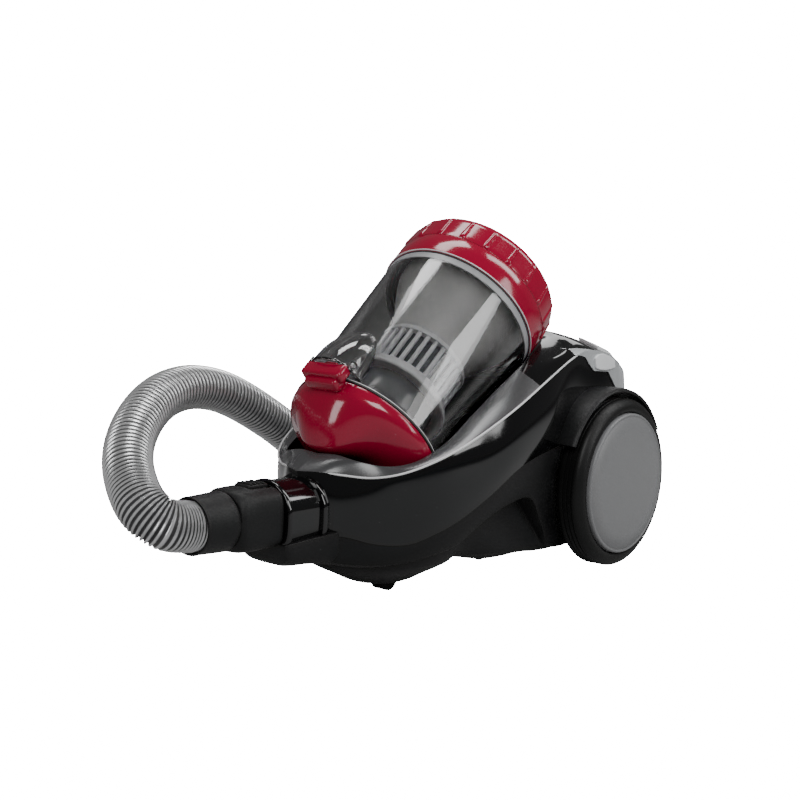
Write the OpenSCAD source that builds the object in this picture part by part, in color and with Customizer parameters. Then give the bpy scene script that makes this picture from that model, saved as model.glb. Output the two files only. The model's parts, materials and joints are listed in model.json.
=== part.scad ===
// Canister vacuum cleaner: a wheeled body with a leaning cyclone dust cup, a nose port and a ribbed hose.
// +X is the rear, the nose points to -X, -Y is the left side, +Z is up and z = 0 is the floor.

/* [Wheels] */
// Outer diameter of the rear tyres
tyre_d = 160; // [156:1:162]
// Width of a rear tyre
tyre_w = 26; // [22:1:26]
// Distance of the rear axle behind the origin
wheel_x = 140; // [138:1:141]
// Diameter of the front caster's wheel
caster_d = 23; // [22:1:24]
// Distance of the caster's swivel axis ahead of the origin
caster_x = 73; // [72:1:74]

/* [Dust cup] */
// Lean of the dust cup's axis, from upright towards the rear
cup_tilt = 53.66; // [53.4:0.1:54]
// Outer radius of the cup under the lid
cup_top_r = 76; // [75:0.5:76]
// Outer radius of the cup at the bottom door
cup_door_r = 72; // [71:0.5:72]
// Thickness of the clear wall
cup_wall = 2.5; // [2:0.1:3]
// Depth of the bottom door's dome
door_depth = 32; // [31:1:33]
// Height of the ribbed lid along the cup's axis
lid_h = 56; // [54:1:56]

/* [Body] */
// Thickness of the body's mouldings
wall = 3; // [2.5:0.1:3]
// Height of the hose port's axis above the floor, at its mouth
port_z = 99; // [98.5:0.5:99.5]
// Width of the shell between the rear wheels
waist_w = 186; // [184:1:187]

/* [Hose] */
// Outer diameter of the hose over its ribs
hose_d = 41; // [39:1:42]
// Outer radius of the spigot that wands and nozzles push onto
spigot_r = 17.5; // [17:0.1:18]
// Length of that spigot
spigot_len = 36; // [32:1:40]

/* [Hidden] */
$fn = 64;
tiny = 0.01;
far = 400;
press = 0.02;
run = 0.05;

wheel_z = tyre_d/2;
tyre_in_y = 125 - tyre_w;
hub_r = 66;
axle_r = 6;
caster_z = caster_d/2;
stem_r = 4;

cup_x = 41.4;
cup_z = 240;
cup_len = 164;
lid_r = 78;
lid_top_r = 70;
cradle_gap = 1.5;
hinge_r = 1.8;
door_hinge_w = 47.2;
bowl_depth = 53;
nose_at = [-46, -198];
nose_r = 18;
hinge_at = [cup_door_r + 5, 3.5 - cup_len];
latch_pin_at = [-cup_door_r - 9, 8 - cup_len];
latch_pin_r = 1.5;
latch_x = -cup_door_r - 14;
door_seam = cup_len + 5;

port_mouth_x = -218;
port_len = 60;
port_r = 27;
port_bore_r = 22.5;
port_tilt = 4;
cuff_r = 20;

motor_at = [82, -31];
motor_r = 46;
filter_z = 110;
fan_z = 88;
reel_at = [135, 102];
reel_y = [27, 71];
reel_r = 56;
pedal_at = [166, 74, 187.5];
pedal_slope = 24;
pedal_size = [43, 28];
handle_pin_at = [158, 203];
handle_pin_r = 2;
exhaust_hinge_at = [214, 44];
cord_outlet = [205, 48, 98];
axle_from_y = 79;
back_x = 216;
spigot_from = [290, -16, 24];
spigot_bore_r = 13.5;
neck_len = 1.5;

// ---------- helpers ----------

// A point on the smooth curve through four neighbours, at share t between the middle two.
function curve_point(a, b, c, d, t) =
    0.5*(2*b + (c - a)*t + (2*a - 5*b + 4*c - d)*t*t + (3*b - a - 3*c + d)*t*t*t);

// The smooth curve through a list of points, with n steps between neighbours.
function smooth(p, n) = let (last = len(p) - 1) [
    for (i = [0:last - 1], k = [0:n - 1])
        curve_point(p[max(i - 1, 0)], p[i], p[i + 1], p[min(i + 2, last)], k/n),
    p[last]
];
function unit(v) = v/max(norm(v), tiny);
function reversed(p) = [for (i = [len(p) - 1:-1:0]) p[i]];

// A closed outline moved inwards by d, corner by corner. The outline turns anticlockwise.
function corner_normal(p, i) = let (
    n = len(p), a = unit(p[i] - p[(i + n - 1) % n]), b = unit(p[(i + 1) % n] - p[i]),
    m = unit([-a[1] - b[1], a[0] + b[0]])
) m/max(m*[-a[1], a[0]], 0.5);
function inset(p, d) = [for (i = [0:len(p) - 1]) p[i] + d*corner_normal(p, i)];

// Places children on the dust cup's axis: local z = 0 is the lid's rim, +z points to the lid,
// local -x is the top front and local +x faces the cradle.
module on_cup_axis() translate([cup_x, 0, cup_z]) rotate([0, cup_tilt, 0]) children();

// Places children on the hose port's axis: local z = 0 is the port's mouth, +z points out of it
// and local +x is its top.
module on_port_axis()
    translate([port_mouth_x, 0, port_z]) rotate([0, port_tilt - 90, 0]) children();

module along_x(x, y, z) translate([x, y, z]) rotate([0, 90, 0]) children();
module along_y(x, y, z) translate([x, y, z]) rotate([-90, 0, 0]) children();
module both_sides() {
    children();
    mirror([0, 1, 0]) children();
}
module ring(outer_r, inner_r, h) difference() {
    cylinder(r = outer_r, h = h);
    translate([0, 0, -1]) cylinder(r = inner_r, h = h + 2);
}
module box(low, high) translate(low) cube(high - low);

// A solid between two heights with the given plan outline, and one across the body with a side outline.
module plan_solid(outline, low, high) translate([0, 0, low]) linear_extrude(high - low) polygon(outline);
module side_solid(outline, half_w)
    translate([0, half_w, 0]) rotate([90, 0, 0]) linear_extrude(2*half_w) polygon(outline);

// A round bar or, where it has a bore, a round tube, swept along a path as one closed solid.
function sweep_frames(p) = let (last = len(p) - 1) [
    for (i = [0:last]) let (
        t = unit(p[min(i + 1, last)] - p[max(i - 1, 0)]), u = unit(cross([0.13, 0.31, 1], t))
    ) [p[i], u, cross(t, u)]
];
function sweep_rings(p, r, sides) = [
    for (f = sweep_frames(p), k = [0:sides - 1]) f[0] + r*(f[1]*cos(360*k/sides) + f[2]*sin(360*k/sides))
];
function skin_faces(first, rings, sides) = [
    for (i = [0:rings - 2], k = [0:sides - 1])
        let (a = first + i*sides + k, b = first + i*sides + (k + 1) % sides)
        each [[a, a + sides, b + sides], [a, b + sides, b]]
];
function end_ring(a, b, sides) = [
    for (k = [0:sides - 1], j = [(k + 1) % sides]) each [[a + k, a + j, b + j], [a + k, b + j, b + k]]
];
function flip(faces) = [for (f = faces) reversed(f)];
module sweep(p, r, sides) polyhedron(
    sweep_rings(p, r, sides),
    concat(
        [[for (k = [0:sides - 1]) k]], skin_faces(0, len(p), sides),
        [[for (k = [sides - 1:-1:0]) (len(p) - 1)*sides + k]]
    ),
    convexity = 8
);
module sweep_tube(p, r, bore_r, sides) let (n = len(p)*sides) polyhedron(
    concat(sweep_rings(p, r, sides), sweep_rings(p, bore_r, sides)),
    concat(
        skin_faces(0, len(p), sides), flip(skin_faces(n, len(p), sides)),
        end_ring(0, n, sides), flip(end_ring(n - sides, 2*n - sides, sides))
    ),
    convexity = 8
);

// A straight bar between two points, longer by extra at both ends, and a run of such bars with round bends.
module bar(a, b, r, extra) let (v = b - a, angles = [0, acos(v[2]/norm(v)), atan2(v[1], v[0])])
    translate(a) rotate(angles) translate([0, 0, -extra]) cylinder(r = r, h = norm(v) + 2*extra);
module bent_bar(p, r, extra) {
    for (i = [0:len(p) - 2]) bar(p[i], p[i + 1], r, i == 0 || i == len(p) - 2 ? extra : 0);
    for (i = [1:len(p) - 2]) translate(p[i]) sphere(r = r + 0.4);
}

// ---------- outlines of the body ----------

half_plan = smooth([
    [-178, 0], [-172, 18], [-158, 34], [-140, 52], [-119, 70], [-96, 84], [-62, 95], [-20, 102],
    [35, 105], [62, waist_w/2 + 2], [82, waist_w/2]
], 3);
half_tail = smooth([[180, waist_w/2], [200, 84], [213, 58], [back_x, 0]], 3);
plan = concat(
    reversed([for (p = concat(half_plan, half_tail)) if (p[1] > tiny) [p[0], p[1]]]), [[-178, 0]],
    [for (p = concat(half_plan, half_tail)) if (p[1] > tiny) [p[0], -p[1]]], [[back_x, 0]]
);
tub_half = smooth([
    [-168, 0], [-158, 16], [-140, 30], [-110, 44], [-70, 58], [-40, 74], [-8, 84], [40, 87], [160, 86],
    [190, 78], [206, 52], [210, 0]
], 3);
tub_plan = concat(
    reversed([for (p = tub_half) if (p[1] > tiny) [p[0], p[1]]]), [[-168, 0]],
    [for (p = tub_half) if (p[1] > tiny) [p[0], -p[1]]], [[210, 0]]
);
parting = [
    [-180, 76], [-158, 73], [-140, 66], [-119, 64], [-100, 70], [-75, 80], [-40, 97], [0, 116],
    [50, 123], [130, 122], [220, 120]
];
band_bottom = [
    [220, 80], [135, 80], [45, 84], [-8, 82], [-42, 73], [-70, 57], [-96, 50], [-134, 47], [-180, 54]
];
tub_side = [
    [-180, 52], [-150, 43], [-120, 40], [-70, 40], [-42, 30], [-8, 24], [165, 24], [190, 30], [206, 42],
    [220, 70], [220, 90], [-8, 90], [-70, 60], [-134, 52], [-180, 60]
];
roof = smooth([
    [-180, 127], [-166, 132], [-152, 137], [-134, 133], [-112, 131], [-91, 138], [-50, 158], [-5, 178],
    [45, 196], [86, 208], [118, 216], [140, 219]
], 3);
slope_end = [220, 161];
front_outline = [
    [-106, 0], [106, 0], [106, 122], [102, 150], [95, 170], [88, 184], [62, 205], [44, 217], [36, 219],
    [-36, 219], [-44, 217], [-62, 205], [-88, 184], [-95, 170], [-102, 150], [-106, 122]
];

// The space the dust cup lies in, grown by d on every side.
module cup_space(d) on_cup_axis() {
    translate([0, 0, -cup_len - 6]) cylinder(r1 = cup_door_r + 2 + d, r2 = lid_r + d, h = cup_len + 6);
    translate([0, 0, -tiny]) cylinder(r = lid_r + d, h = far);
    translate([0, 0, -cup_len - 6]) intersection() {
        scale_dome(cup_door_r + 2 + d, bowl_depth + d);
        translate([0, 0, -far/2]) cube(far, center = true);
    }
}
// The lower half of a squat round dome, as a stack of rounded steps.
module scale_dome(r, depth) rotate_extrude() polygon(concat(
    [[0, tiny]], [for (a = [0:9:90]) [r*cos(a), -depth*pow(sin(a), 0.85)]]
));
module envelope(d) {
    inner_plan = d > 0 ? inset(plan, d) : plan;
    intersection() {
        plan_solid(inner_plan, 0, far);
        side_solid(concat(parting, [slope_end - [0, d]], reversed([for (p = roof) p - [0, d]])), 140);
        rotate([90, 0, 90]) translate([0, 0, -200]) linear_extrude(far + 40)
            polygon([for (p = front_outline) [p[0]*(1 - d/100), p[1] - d]]);
    }
}
module port_outline(d) {
    circle(r = port_r + d);
    translate([-port_r - d, -port_r + 3 - d]) square([port_r + d, 2*(port_r - 3 + d)]);
}
module port_solid(d) on_port_axis() translate([0, 0, -port_len]) linear_extrude(port_len) port_outline(d);
module pedal_place(side) translate([pedal_at[0], side*pedal_at[1], pedal_at[2]])
    rotate([0, pedal_slope, 0]) children();

// ---------- body ----------

module lower_chassis() color("dimgray") difference() {
    union() {
        difference() {
            union() {
                intersection() {
                    plan_solid(plan, 0, far);
                    side_solid(concat(band_bottom, parting), 140);
                }
                intersection() {
                    plan_solid(tub_plan, 0, far);
                    side_solid(tub_side, 140);
                }
            }
            intersection() {
                plan_solid(inset(plan, wall), 0, far);
                side_solid(
                    concat([for (p = band_bottom) p + [0, wall]], [for (p = parting) p + [0, 1]]), 140
                );
            }
            intersection() {
                plan_solid(inset(tub_plan, wall), 0, far);
                side_solid([for (p = tub_side) p + [0, p[1] > 50 ? 6 : wall]], 140);
            }
        }
        caster_housing();
        both_sides() along_y(wheel_x, axle_from_y, wheel_z) cylinder(r = 13, h = 12);
        at_screws() translate([0, 0, 2]) cylinder(r = 6, h = 16);
        for (y = [-60, 12]) box([196, y, 44], [211, y + 4, 112]);
    }
    translate([-caster_x, 0, 0]) {
        translate([0, 0, -1]) cylinder(r = 23, h = 30);
        cylinder(r = stem_r + 2, h = 60);
    }
    both_sides() along_y(wheel_x, 70, wheel_z) cylinder(r = axle_r, h = 40);
    at_screws() {
        translate([0, 0, -4]) cylinder(r = 3.4, h = 6.2);
        cylinder(r = 1.6, h = 40);
    }
    port_solid(0);
    exhaust_window();
    on_grommet() cylinder(r = 9, h = 20);
    vent_slots();
}
// The round turret under the nose that the caster turns in.
module caster_housing() translate([-caster_x, 0, 0]) rotate_extrude() polygon([
    [stem_r + 2, 44], [stem_r + 2, 29], [22.5, 29], [22.5, 10], [28, 10], [42, 20], [62, 32], [70, 41],
    [60, 44]
]);
module exhaust_window() box([195, -56, 42], [225, 12, 112]);
module at_screws() for (x = [0, 150], side = [-1, 1]) translate([x, side*72, 24]) children();
module on_grommet() along_x(cord_outlet[0], cord_outlet[1], cord_outlet[2]) children();
module vent_slots() for (x = [20:12:104]) box([x, -60, 20], [x + 4, 10, 30]);

module upper_shell() color("black") difference() {
    union() {
        difference() {
            envelope(0);
            intersection() {
                envelope(wall);
                box([-200, -140, 40], [230, 140, 230]);
            }
            cut_below_parting();
        }
        intersection() {
            side_solid(well_outside, 49);
            envelope(0);
        }
        for (side = [-1, 1], y = [-1, 1]) intersection() {
            pedal_place(side) translate([-2, y*(pedal_size[1]/2 + 2.6) - 1.6, -12]) cube([9, 3.2, 40]);
            envelope(0.5);
        }
    }
    cup_space(cradle_gap);
    port_solid(0);
    for (side = [-1, 1]) pedal_place(side) {
        translate([-0.5, -pedal_size[1]/2 - 0.5, -8]) cube([pedal_size[0] + 1, pedal_size[1] + 1, 60]);
        translate([2.5, 0, -3]) rotate([90, 0, 0]) cylinder(r = 1.5 + run, h = 60, center = true);
    }
    handle_well();
    on_grommet() cylinder(r = 9, h = 20);
}
module cut_below_parting() side_solid(concat(
    [[-200, 0], [230, 0], [230, 120 + tiny]], reversed([for (p = parting) p - [0, tiny]]), [[-200, 76]]
), 141);
well_outside = [[147, 239], [147, 186], [203, 149], [214, 149], [214, 239]];
well_inside = [[150, 240], [150, 188], [204, 152], [211, 152], [211, 240]];
module handle_well() {
    side_solid(well_inside, 46);
    along_y(handle_pin_at[0], -60, handle_pin_at[1]) cylinder(r = handle_pin_r + press, h = 120);
}

// The trough that the dust cup rests in, under the upper shell's rim.
module cradle() color("#1c1c1e") difference() {
    intersection() {
        cup_space(cradle_gap + wall);
        plan_solid(inset(plan, wall + press), 60, far);
        side_solid(concat([[-180, 60], [220, 60]], reversed([for (p = roof) p - [0, wall + press]])), 140);
        rotate([90, 0, 90]) translate([0, 0, -200]) linear_extrude(far)
            polygon([for (p = front_outline) [p[0]*0.965, p[1] - wall - press]]);
    }
    cup_space(cradle_gap);
    on_cup_axis() translate([60, -34, -cup_len - 14]) cube([24, 68, 26]);
    sweep(inlet_path, 15, 16);
    bent_bar(outlet_path, outlet_r + 0.5, 1);
    box([140, -60, 150], [230, 60, 240]);
}

module fenders() color("black") both_sides() difference() {
    along_y(wheel_x, waist_w/2 - 4, wheel_z) ring(tyre_d/2 + 9, tyre_d/2 + 5, 29);
    box([-50, 0, -20], [wheel_x, 130, wheel_z - 12]);
    box([wheel_x - 1, 0, -20], [300, 130, wheel_z + 39.5]);
    plan_solid(plan, 0, far);
}

module hose_port() color("#1a1a1c") difference() {
    union() {
        port_solid(0);
        on_port_axis() translate([0, 0, -5]) linear_extrude(5) port_outline(2);
    }
    on_port_axis() {
        translate([0, 0, -34]) cylinder(r = port_bore_r, h = 60);
        translate([0, 0, -port_len - 1]) cylinder(r = 18, h = 60);
        translate([port_bore_r - 2, -6, -22]) cube([20, 12, 8]);
    }
    cup_space(cradle_gap);
}
module port_seal() color("#222222") on_port_axis() translate([0, 0, -34]) ring(port_bore_r, 18, 4);

// ---------- air path ----------

inlet_path = smooth([
    [-154, 0, 92], [-146, 0, 84], [-132, 0, 71], [-112, 0, 63], [-88, 0, 60], [-62, 0, 60], [-34, 0, 60],
    [-12, 0, 70], [-9, 0, 88], [-17, 0, 100]
], 3);
outlet_path = [[84, -30, 125], [86, -28, 142], [121.4, 0, 178.4], [111.95, 0, 191.35]];
outlet_r = 15;
cup_inlet_z = -130;

module inlet_duct() color("#2b2b2e") sweep_tube(inlet_path, 14.5, 12.5, 16);
module outlet_duct() color("#2b2b2e") difference() {
    bent_bar(outlet_path, outlet_r, 0);
    bent_bar(outlet_path, outlet_r - 2, 1);
}
module pre_motor_filter() color("whitesmoke") translate([motor_at[0], motor_at[1], filter_z])
    cylinder(r = motor_r - 4, h = 12);

// ---------- motor ----------

module on_motor(z) translate([motor_at[0], motor_at[1], z]) children();

module motor_housing() color("#3a3a3c") difference() {
    on_motor(27) ring(motor_r, motor_r - 3, 99);
    on_motor(40) rotate([0, 0, 60]) box([30, -12, 0], [60, 12, 30]);
}
module motor_end_plates() {
    on_motor(27) cylinder(r = motor_r - 3, h = 5);
    on_motor(27) cylinder(r = 9, h = 12);
    on_motor(83) cylinder(r = motor_r - 3, h = 3);
    on_motor(106) cylinder(r = motor_r - 3, h = 3);
}
module motor_mounts() color("#202020") difference() {
    motor_end_plates();
    on_motor(30) cylinder(r = stem_r + run, h = 60);
    on_motor(100) cylinder(r = 18, h = 20);
    for (a = [30:60:330]) on_motor(80) rotate([0, 0, a]) translate([30, 0, 0]) cylinder(r = 7, h = 10);
}
module motor_stator() color("#8d8f92") on_motor(40) difference() {
    cylinder(r = motor_r - 3 - press, h = 38);
    translate([0, 0, -1]) cylinder(r = 21, h = 40);
    for (a = [0:60:300]) rotate([0, 0, a]) translate([36, 0, -1]) cylinder(r = 4, h = 40);
}
module motor_shaft() color("#b0b0b4") {
    on_motor(31) cylinder(r = stem_r, h = 71);
    on_motor(42) cylinder(r = 20, h = 34);
}
module fan_impeller() color("#c9cbcd") difference() {
    union() {
        on_motor(fan_z) cylinder(r = 38, h = 2);
        on_motor(fan_z) cylinder(r = 9, h = 13);
        for (a = [0:40:320]) on_motor(fan_z) rotate([0, 0, a]) rotate([0, 0, 20])
            translate([8, -1, 0]) cube([28, 1.6, 12]);
    }
    on_motor(fan_z - 8) cylinder(r = stem_r, h = 30);
}
module exhaust_filter() color("whitesmoke") box([197, -56, 46], [206, 12, 110]);
module exhaust_cover() color("#1a1a1c") difference() {
    union() {
        box([210, -54, 46], [214, 10, 110]);
        along_y(exhaust_hinge_at[0] - 2, -55.7, exhaust_hinge_at[1] + 2) cylinder(r = 2, h = 67.4);
    }
    for (z = [54:7:103]) box([200, -46, z], [220, 2, z + 3]);
}
module circuit_board() color("darkgreen") {
    box([153, -88.6, 93.5], [181, -87, 120]);
    along_y(163, -87, 107) cylinder(r = 7, h = 14);
    box([171, -87, 99], [179, -80, 113]);
}
module power_switch() color("#e8e8e8") {
    box([168, -84, 128], [188, -62, 154]);
    translate([180, -73, 154]) cylinder(r = 4, h = 12);
}

// ---------- cord reel ----------

module on_reel(y) along_y(reel_at[0], y, reel_at[1]) children();
module reel_frame() color("#46484a") {
    for (y = [reel_y[0] - 6, reel_y[1] + 2]) difference() {
        union() {
            on_reel(y) cylinder(r = reel_r + 2, h = 3);
            box([100, y, 27], [125, y + 3, 80]);
        }
        on_reel(y - 1) cylinder(r = 5, h = 5);
        for (a = [30:60:330]) on_reel(y - 1) rotate([0, 0, a]) translate([33, 0, 0])
            cylinder(r = 12, h = 5);
    }
    on_reel(reel_y[0] - 7) cylinder(r = 5, h = reel_y[1] - reel_y[0] + 13);
}
module reel_drum() color("#d8d8da") difference() {
    union() {
        on_reel(reel_y[0]) cylinder(r = reel_r, h = 2);
        on_reel(reel_y[1] - 2) cylinder(r = reel_r, h = 2);
        on_reel(reel_y[0]) cylinder(r = 24, h = reel_y[1] - reel_y[0]);
    }
    on_reel(reel_y[0] + 3) cylinder(r = 20, h = reel_y[1] - reel_y[0] - 6);
    on_reel(0) cylinder(r = 5 + run, h = 100);
}
module reel_spring() color("#9aa0a6") on_reel(reel_y[0] + 10) ring(18, 5, 12);
module cord_grommet() color("#202020") difference() {
    union() {
        on_grommet() cylinder(r = 9, h = 9);
        difference() {
            along_x(cord_outlet[0] + 7, cord_outlet[1], cord_outlet[2]) cylinder(r = 11, h = 5);
            plan_solid(plan, 0, far);
        }
    }
    along_x(cord_outlet[0] - 5, cord_outlet[1], cord_outlet[2]) cylinder(r = 4.2, h = 30);
}

// ---------- wheels ----------

module rear_axles() color("silver") both_sides() {
    along_y(wheel_x, axle_from_y, wheel_z) cylinder(r = axle_r, h = 41);
    along_y(wheel_x, axle_from_y - 2, wheel_z) cylinder(r = 9, h = 2);
    along_y(wheel_x, 93.2, wheel_z) cylinder(r = 9, h = 5.5);
}
module tyre() color("#161616") along_y(wheel_x, tyre_in_y, wheel_z) rotate_extrude() polygon(concat(
    [[hub_r - 2, 0]],
    [for (a = [-90:15:0]) [tyre_d/2 - 7 + 7*cos(a), 8 + 8*sin(a)]],
    [for (a = [0:15:90]) [tyre_d/2 - 7 + 7*cos(a), tyre_w - 8 + 8*sin(a)]],
    [[hub_r - 2, tyre_w]]
));
module rim() color("#2c2c2e") difference() {
    union() {
        along_y(wheel_x, tyre_in_y, wheel_z) ring(hub_r - 2, hub_r - 6, tyre_w - 4);
        along_y(wheel_x, tyre_in_y + 9, wheel_z) cylinder(r = hub_r - 5, h = 4);
        along_y(wheel_x, tyre_in_y, wheel_z) cylinder(r = 11, h = tyre_w - 4);
    }
    along_y(wheel_x, 80, wheel_z) cylinder(r = axle_r + run, h = 60);
}
module hub_cap() color("#8c8e92") along_y(wheel_x, tyre_in_y + tyre_w - 4, wheel_z)
    rotate_extrude() polygon([
        [0, 1.6], [hub_r - 2, 0], [hub_r - 2, 4], [hub_r - 5, 5.4], [hub_r - 14, 6], [0, 6]
    ]);
module left_tyre() mirror([0, 1, 0]) tyre();
module left_rim() mirror([0, 1, 0]) rim();
module left_hub_cap() mirror([0, 1, 0]) hub_cap();
module right_tyre() tyre();
module right_rim() rim();
module right_hub_cap() hub_cap();

module caster_bush() color("#c8b070") translate([-caster_x, 0, 29]) ring(stem_r + 2, stem_r + run, 15);
module caster_fork() color("#2c2c2e") translate([-caster_x, 0, 0]) difference() {
    union() {
        translate([0, 0, 27]) cylinder(r = stem_r, h = 16);
        translate([0, 0, 25]) cylinder(r = 18, h = 2.5);
        for (y = [-10.5, 7]) translate([2, y, 8]) cube([12, 3.5, 18]);
    }
    along_y(8, -20, caster_z) cylinder(r = 2, h = 40);
}
module caster_axle() color("silver") along_y(8 - caster_x, -10.5, caster_z) cylinder(r = 2, h = 21);
module caster_wheel() color("#303032") along_y(8 - caster_x, -6.5, caster_z) ring(caster_d/2, 2 + run, 13);

// ---------- pedals and handle ----------

module pedal(side) color("#b9bcc0") difference() {
    intersection() {
        pedal_place(side) union() {
            translate([0, -pedal_size[1]/2, -4]) cube([pedal_size[0], pedal_size[1], 5]);
            translate([0, -pedal_size[1]/2, -6.5]) cube([5, pedal_size[1], 4]);
            translate([2.5, 0, -3]) rotate([90, 0, 0])
                cylinder(r = 1.5, h = pedal_size[1] + 5, center = true);
        }
        plan_solid(inset(plan, 0.6), 0, far);
    }
    pedal_place(side) translate([24, 0, 0]) cylinder(r = 8, h = 2);
}
module power_pedal() pedal(-1);
module rewind_pedal() pedal(1);

handle_side = [
    [152.5, 196], [152.5, 208], [156, 214], [168, 206.5], [190, 190.5], [206, 176], [207, 171],
    [202, 168.5], [188, 181], [166, 196.5], [160, 197]
];
module release_handle() color("#aab0b4") difference() {
    intersection() {
        side_solid(smooth(handle_side, 2), 43);
        translate([0, 0, 150]) linear_extrude(90) polygon([
            [140, -43], [200, -43], [210, -34], [210, 34], [200, 43], [140, 43]
        ]);
    }
    box([165, -29, 150], [196, 29, 230]);
    along_y(handle_pin_at[0], -60, handle_pin_at[1]) cylinder(r = handle_pin_r + run, h = 120);
    box([140, -60, 190], [154.5, 60, 230]);
}
module handle_pin() color("silver") along_y(handle_pin_at[0], -49, handle_pin_at[1])
    cylinder(r = handle_pin_r, h = 98);

// ---------- dust cup ----------

module on_latch_pin() translate([latch_pin_at[0], 0, latch_pin_at[1]]) rotate([90, 0, 0]) children();
module on_hinge_pin() translate([hinge_at[0], 0, hinge_at[1]]) rotate([90, 0, 0]) children();

module dust_cup() color([0.75, 0.78, 0.8, 0.35]) on_cup_axis() difference() {
    union() {
        translate([0, 0, -cup_len]) cylinder(r1 = cup_door_r, r2 = cup_top_r, h = cup_len - 0.5);
        translate([0, 0, -0.6]) cylinder(r = cup_top_r - 6, h = 14);
        translate([-cup_door_r - 2.5, -13, -cup_len]) cube([12, 26, 26]);
        for (y = [-26, 22.5]) translate([-cup_door_r - 13, y, -cup_len + 3]) cube([18.5, 3.5, 10]);
        for (y = [-30, 24]) translate([cup_door_r - 6, y, -cup_len]) cube([14.4, 6, 7.5]);
    }
    translate([0, 0, -cup_len - 1])
        cylinder(r1 = cup_door_r - cup_wall, r2 = cup_top_r - 6 - cup_wall, h = cup_len + 20);
    translate([0, 0, cup_inlet_z]) rotate([0, 90, 0]) cylinder(r = 12.5, h = 90);
    on_latch_pin() cylinder(r = latch_pin_r, h = 60, center = true);
    on_hinge_pin() cylinder(r = hinge_r, h = 90, center = true);
}
module lid_seal() color("#111111") on_cup_axis() translate([0, 0, 13.6]) ring(70, 66, 3);
module hinge_pin() color("silver") on_cup_axis() on_hinge_pin()
    cylinder(r = hinge_r, h = 60, center = true);
module door_seal() color("#111111") on_cup_axis() translate([0, 0, -cup_len - 2.5])
    ring(cup_door_r - 0.5, cup_door_r - 6, 2.2);

// The door's dome with the round nose that stands out of its front.
module door_shape(d) {
    translate([0, 0, -door_seam]) rotate_extrude() polygon(concat(
        [[0, tiny]], [for (a = [0:6:90]) [(cup_door_r - d)*cos(a), -(door_depth - 5 - d)*sin(a)]]
    ));
    translate([nose_at[0], 0, nose_at[1]]) {
        sphere(r = nose_r - d);
        cylinder(r = nose_r - d, h = -door_seam - nose_at[1]);
    }
}
module bottom_door() color("#a51226") on_cup_axis() difference() {
    union() {
        translate([0, 0, -door_seam]) cylinder(r = cup_door_r, h = 4.5);
        difference() {
            door_shape(0);
            door_shape(2.5);
        }
        translate([cup_door_r - 6, -door_hinge_w/2, -door_seam]) cube([13, door_hinge_w, 4.5]);
        on_hinge_pin() cylinder(r = 3.4, h = door_hinge_w, center = true);
        translate([cup_door_r + 3.4, -door_hinge_w/2, -cup_len - 1]) cube([4, door_hinge_w, 4]);
    }
    translate([0, 0, -cup_len - 5.5]) cylinder(r = cup_door_r - 6, h = 8);
    translate([0, 0, -cup_len - 2.5]) cylinder(r = cup_door_r - 0.5, h = 3);
    translate([0, 0, -cup_len - 0.5]) cylinder(r = cup_door_r + 0.6, h = 20);
    on_hinge_pin() cylinder(r = hinge_r + run, h = 90, center = true);
}
module door_latch() color("#a51226") on_cup_axis() difference() {
    union() {
        translate([latch_x, -22, -cup_len - 9]) cube([9.5, 44, 12]);
        translate([latch_x, -8, -cup_len + 2.9]) cube([9.5, 16, 11.6]);
    }
    on_latch_pin() cylinder(r = latch_pin_r + run, h = 60, center = true);
}
module latch_pin() color("silver") on_cup_axis() on_latch_pin()
    cylinder(r = latch_pin_r, h = 48, center = true);

// ---------- separator and lid ----------

module cyclone_cone() color("#77797c") on_cup_axis() difference() {
    union() {
        translate([0, 0, -60]) cylinder(r1 = 36, r2 = 60, h = 58);
        translate([0, 0, -2]) cylinder(r = 60, h = 14);
        translate([0, 0, -64]) cylinder(r = 36, h = 4);
    }
    translate([0, 0, -61]) cylinder(r1 = 33, r2 = 57, h = 60);
    translate([0, 0, -2]) cylinder(r = 57, h = 20);
    translate([0, 0, -70]) cylinder(r = 31, h = 20);
}
module shroud_grille() color("#5c5e61") on_cup_axis() difference() {
    translate([0, 0, -104]) ring(40, 37, 40);
    for (a = [0:12:348]) rotate([0, 0, a]) translate([30, -2, -100]) cube([20, 4, 32]);
}
module shroud_skirt() color("#c9cbcd") on_cup_axis() {
    difference() {
        translate([0, 0, -114]) cylinder(r1 = 50, r2 = 46, h = 10);
        translate([0, 0, -115]) cylinder(r = 37, h = 20);
    }
    difference() {
        translate([0, 0, -140]) cylinder(r = 39, h = 26);
        translate([0, 0, -142]) cylinder(r = 36, h = 40);
    }
}
module vortex_tubes() color("#55575a") on_cup_axis() {
    for (a = [0:60:300]) rotate([0, 0, a]) translate([20, 0, -98]) difference() {
        cylinder(r1 = 4, r2 = 9, h = 90);
        translate([0, 0, -1]) cylinder(r1 = 2.5, r2 = 7.5, h = 92);
    }
    difference() {
        translate([0, 0, -8]) cylinder(r = 53.5, h = 4);
        for (a = [0:60:300]) rotate([0, 0, a]) translate([20, 0, -10]) cylinder(r = 7.5, h = 8);
    }
}
module lid_outline() polygon(concat(
    [[0, lid_h], [lid_top_r - 8, lid_h]],
    [for (a = [75:-15:0]) [lid_top_r - 8 + 10*cos(a), lid_h - 10 + 10*sin(a)]],
    [[lid_r - 2, lid_h - 30], [lid_r, lid_h - 34], [lid_r, 0], [0, 0]]
));
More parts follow.
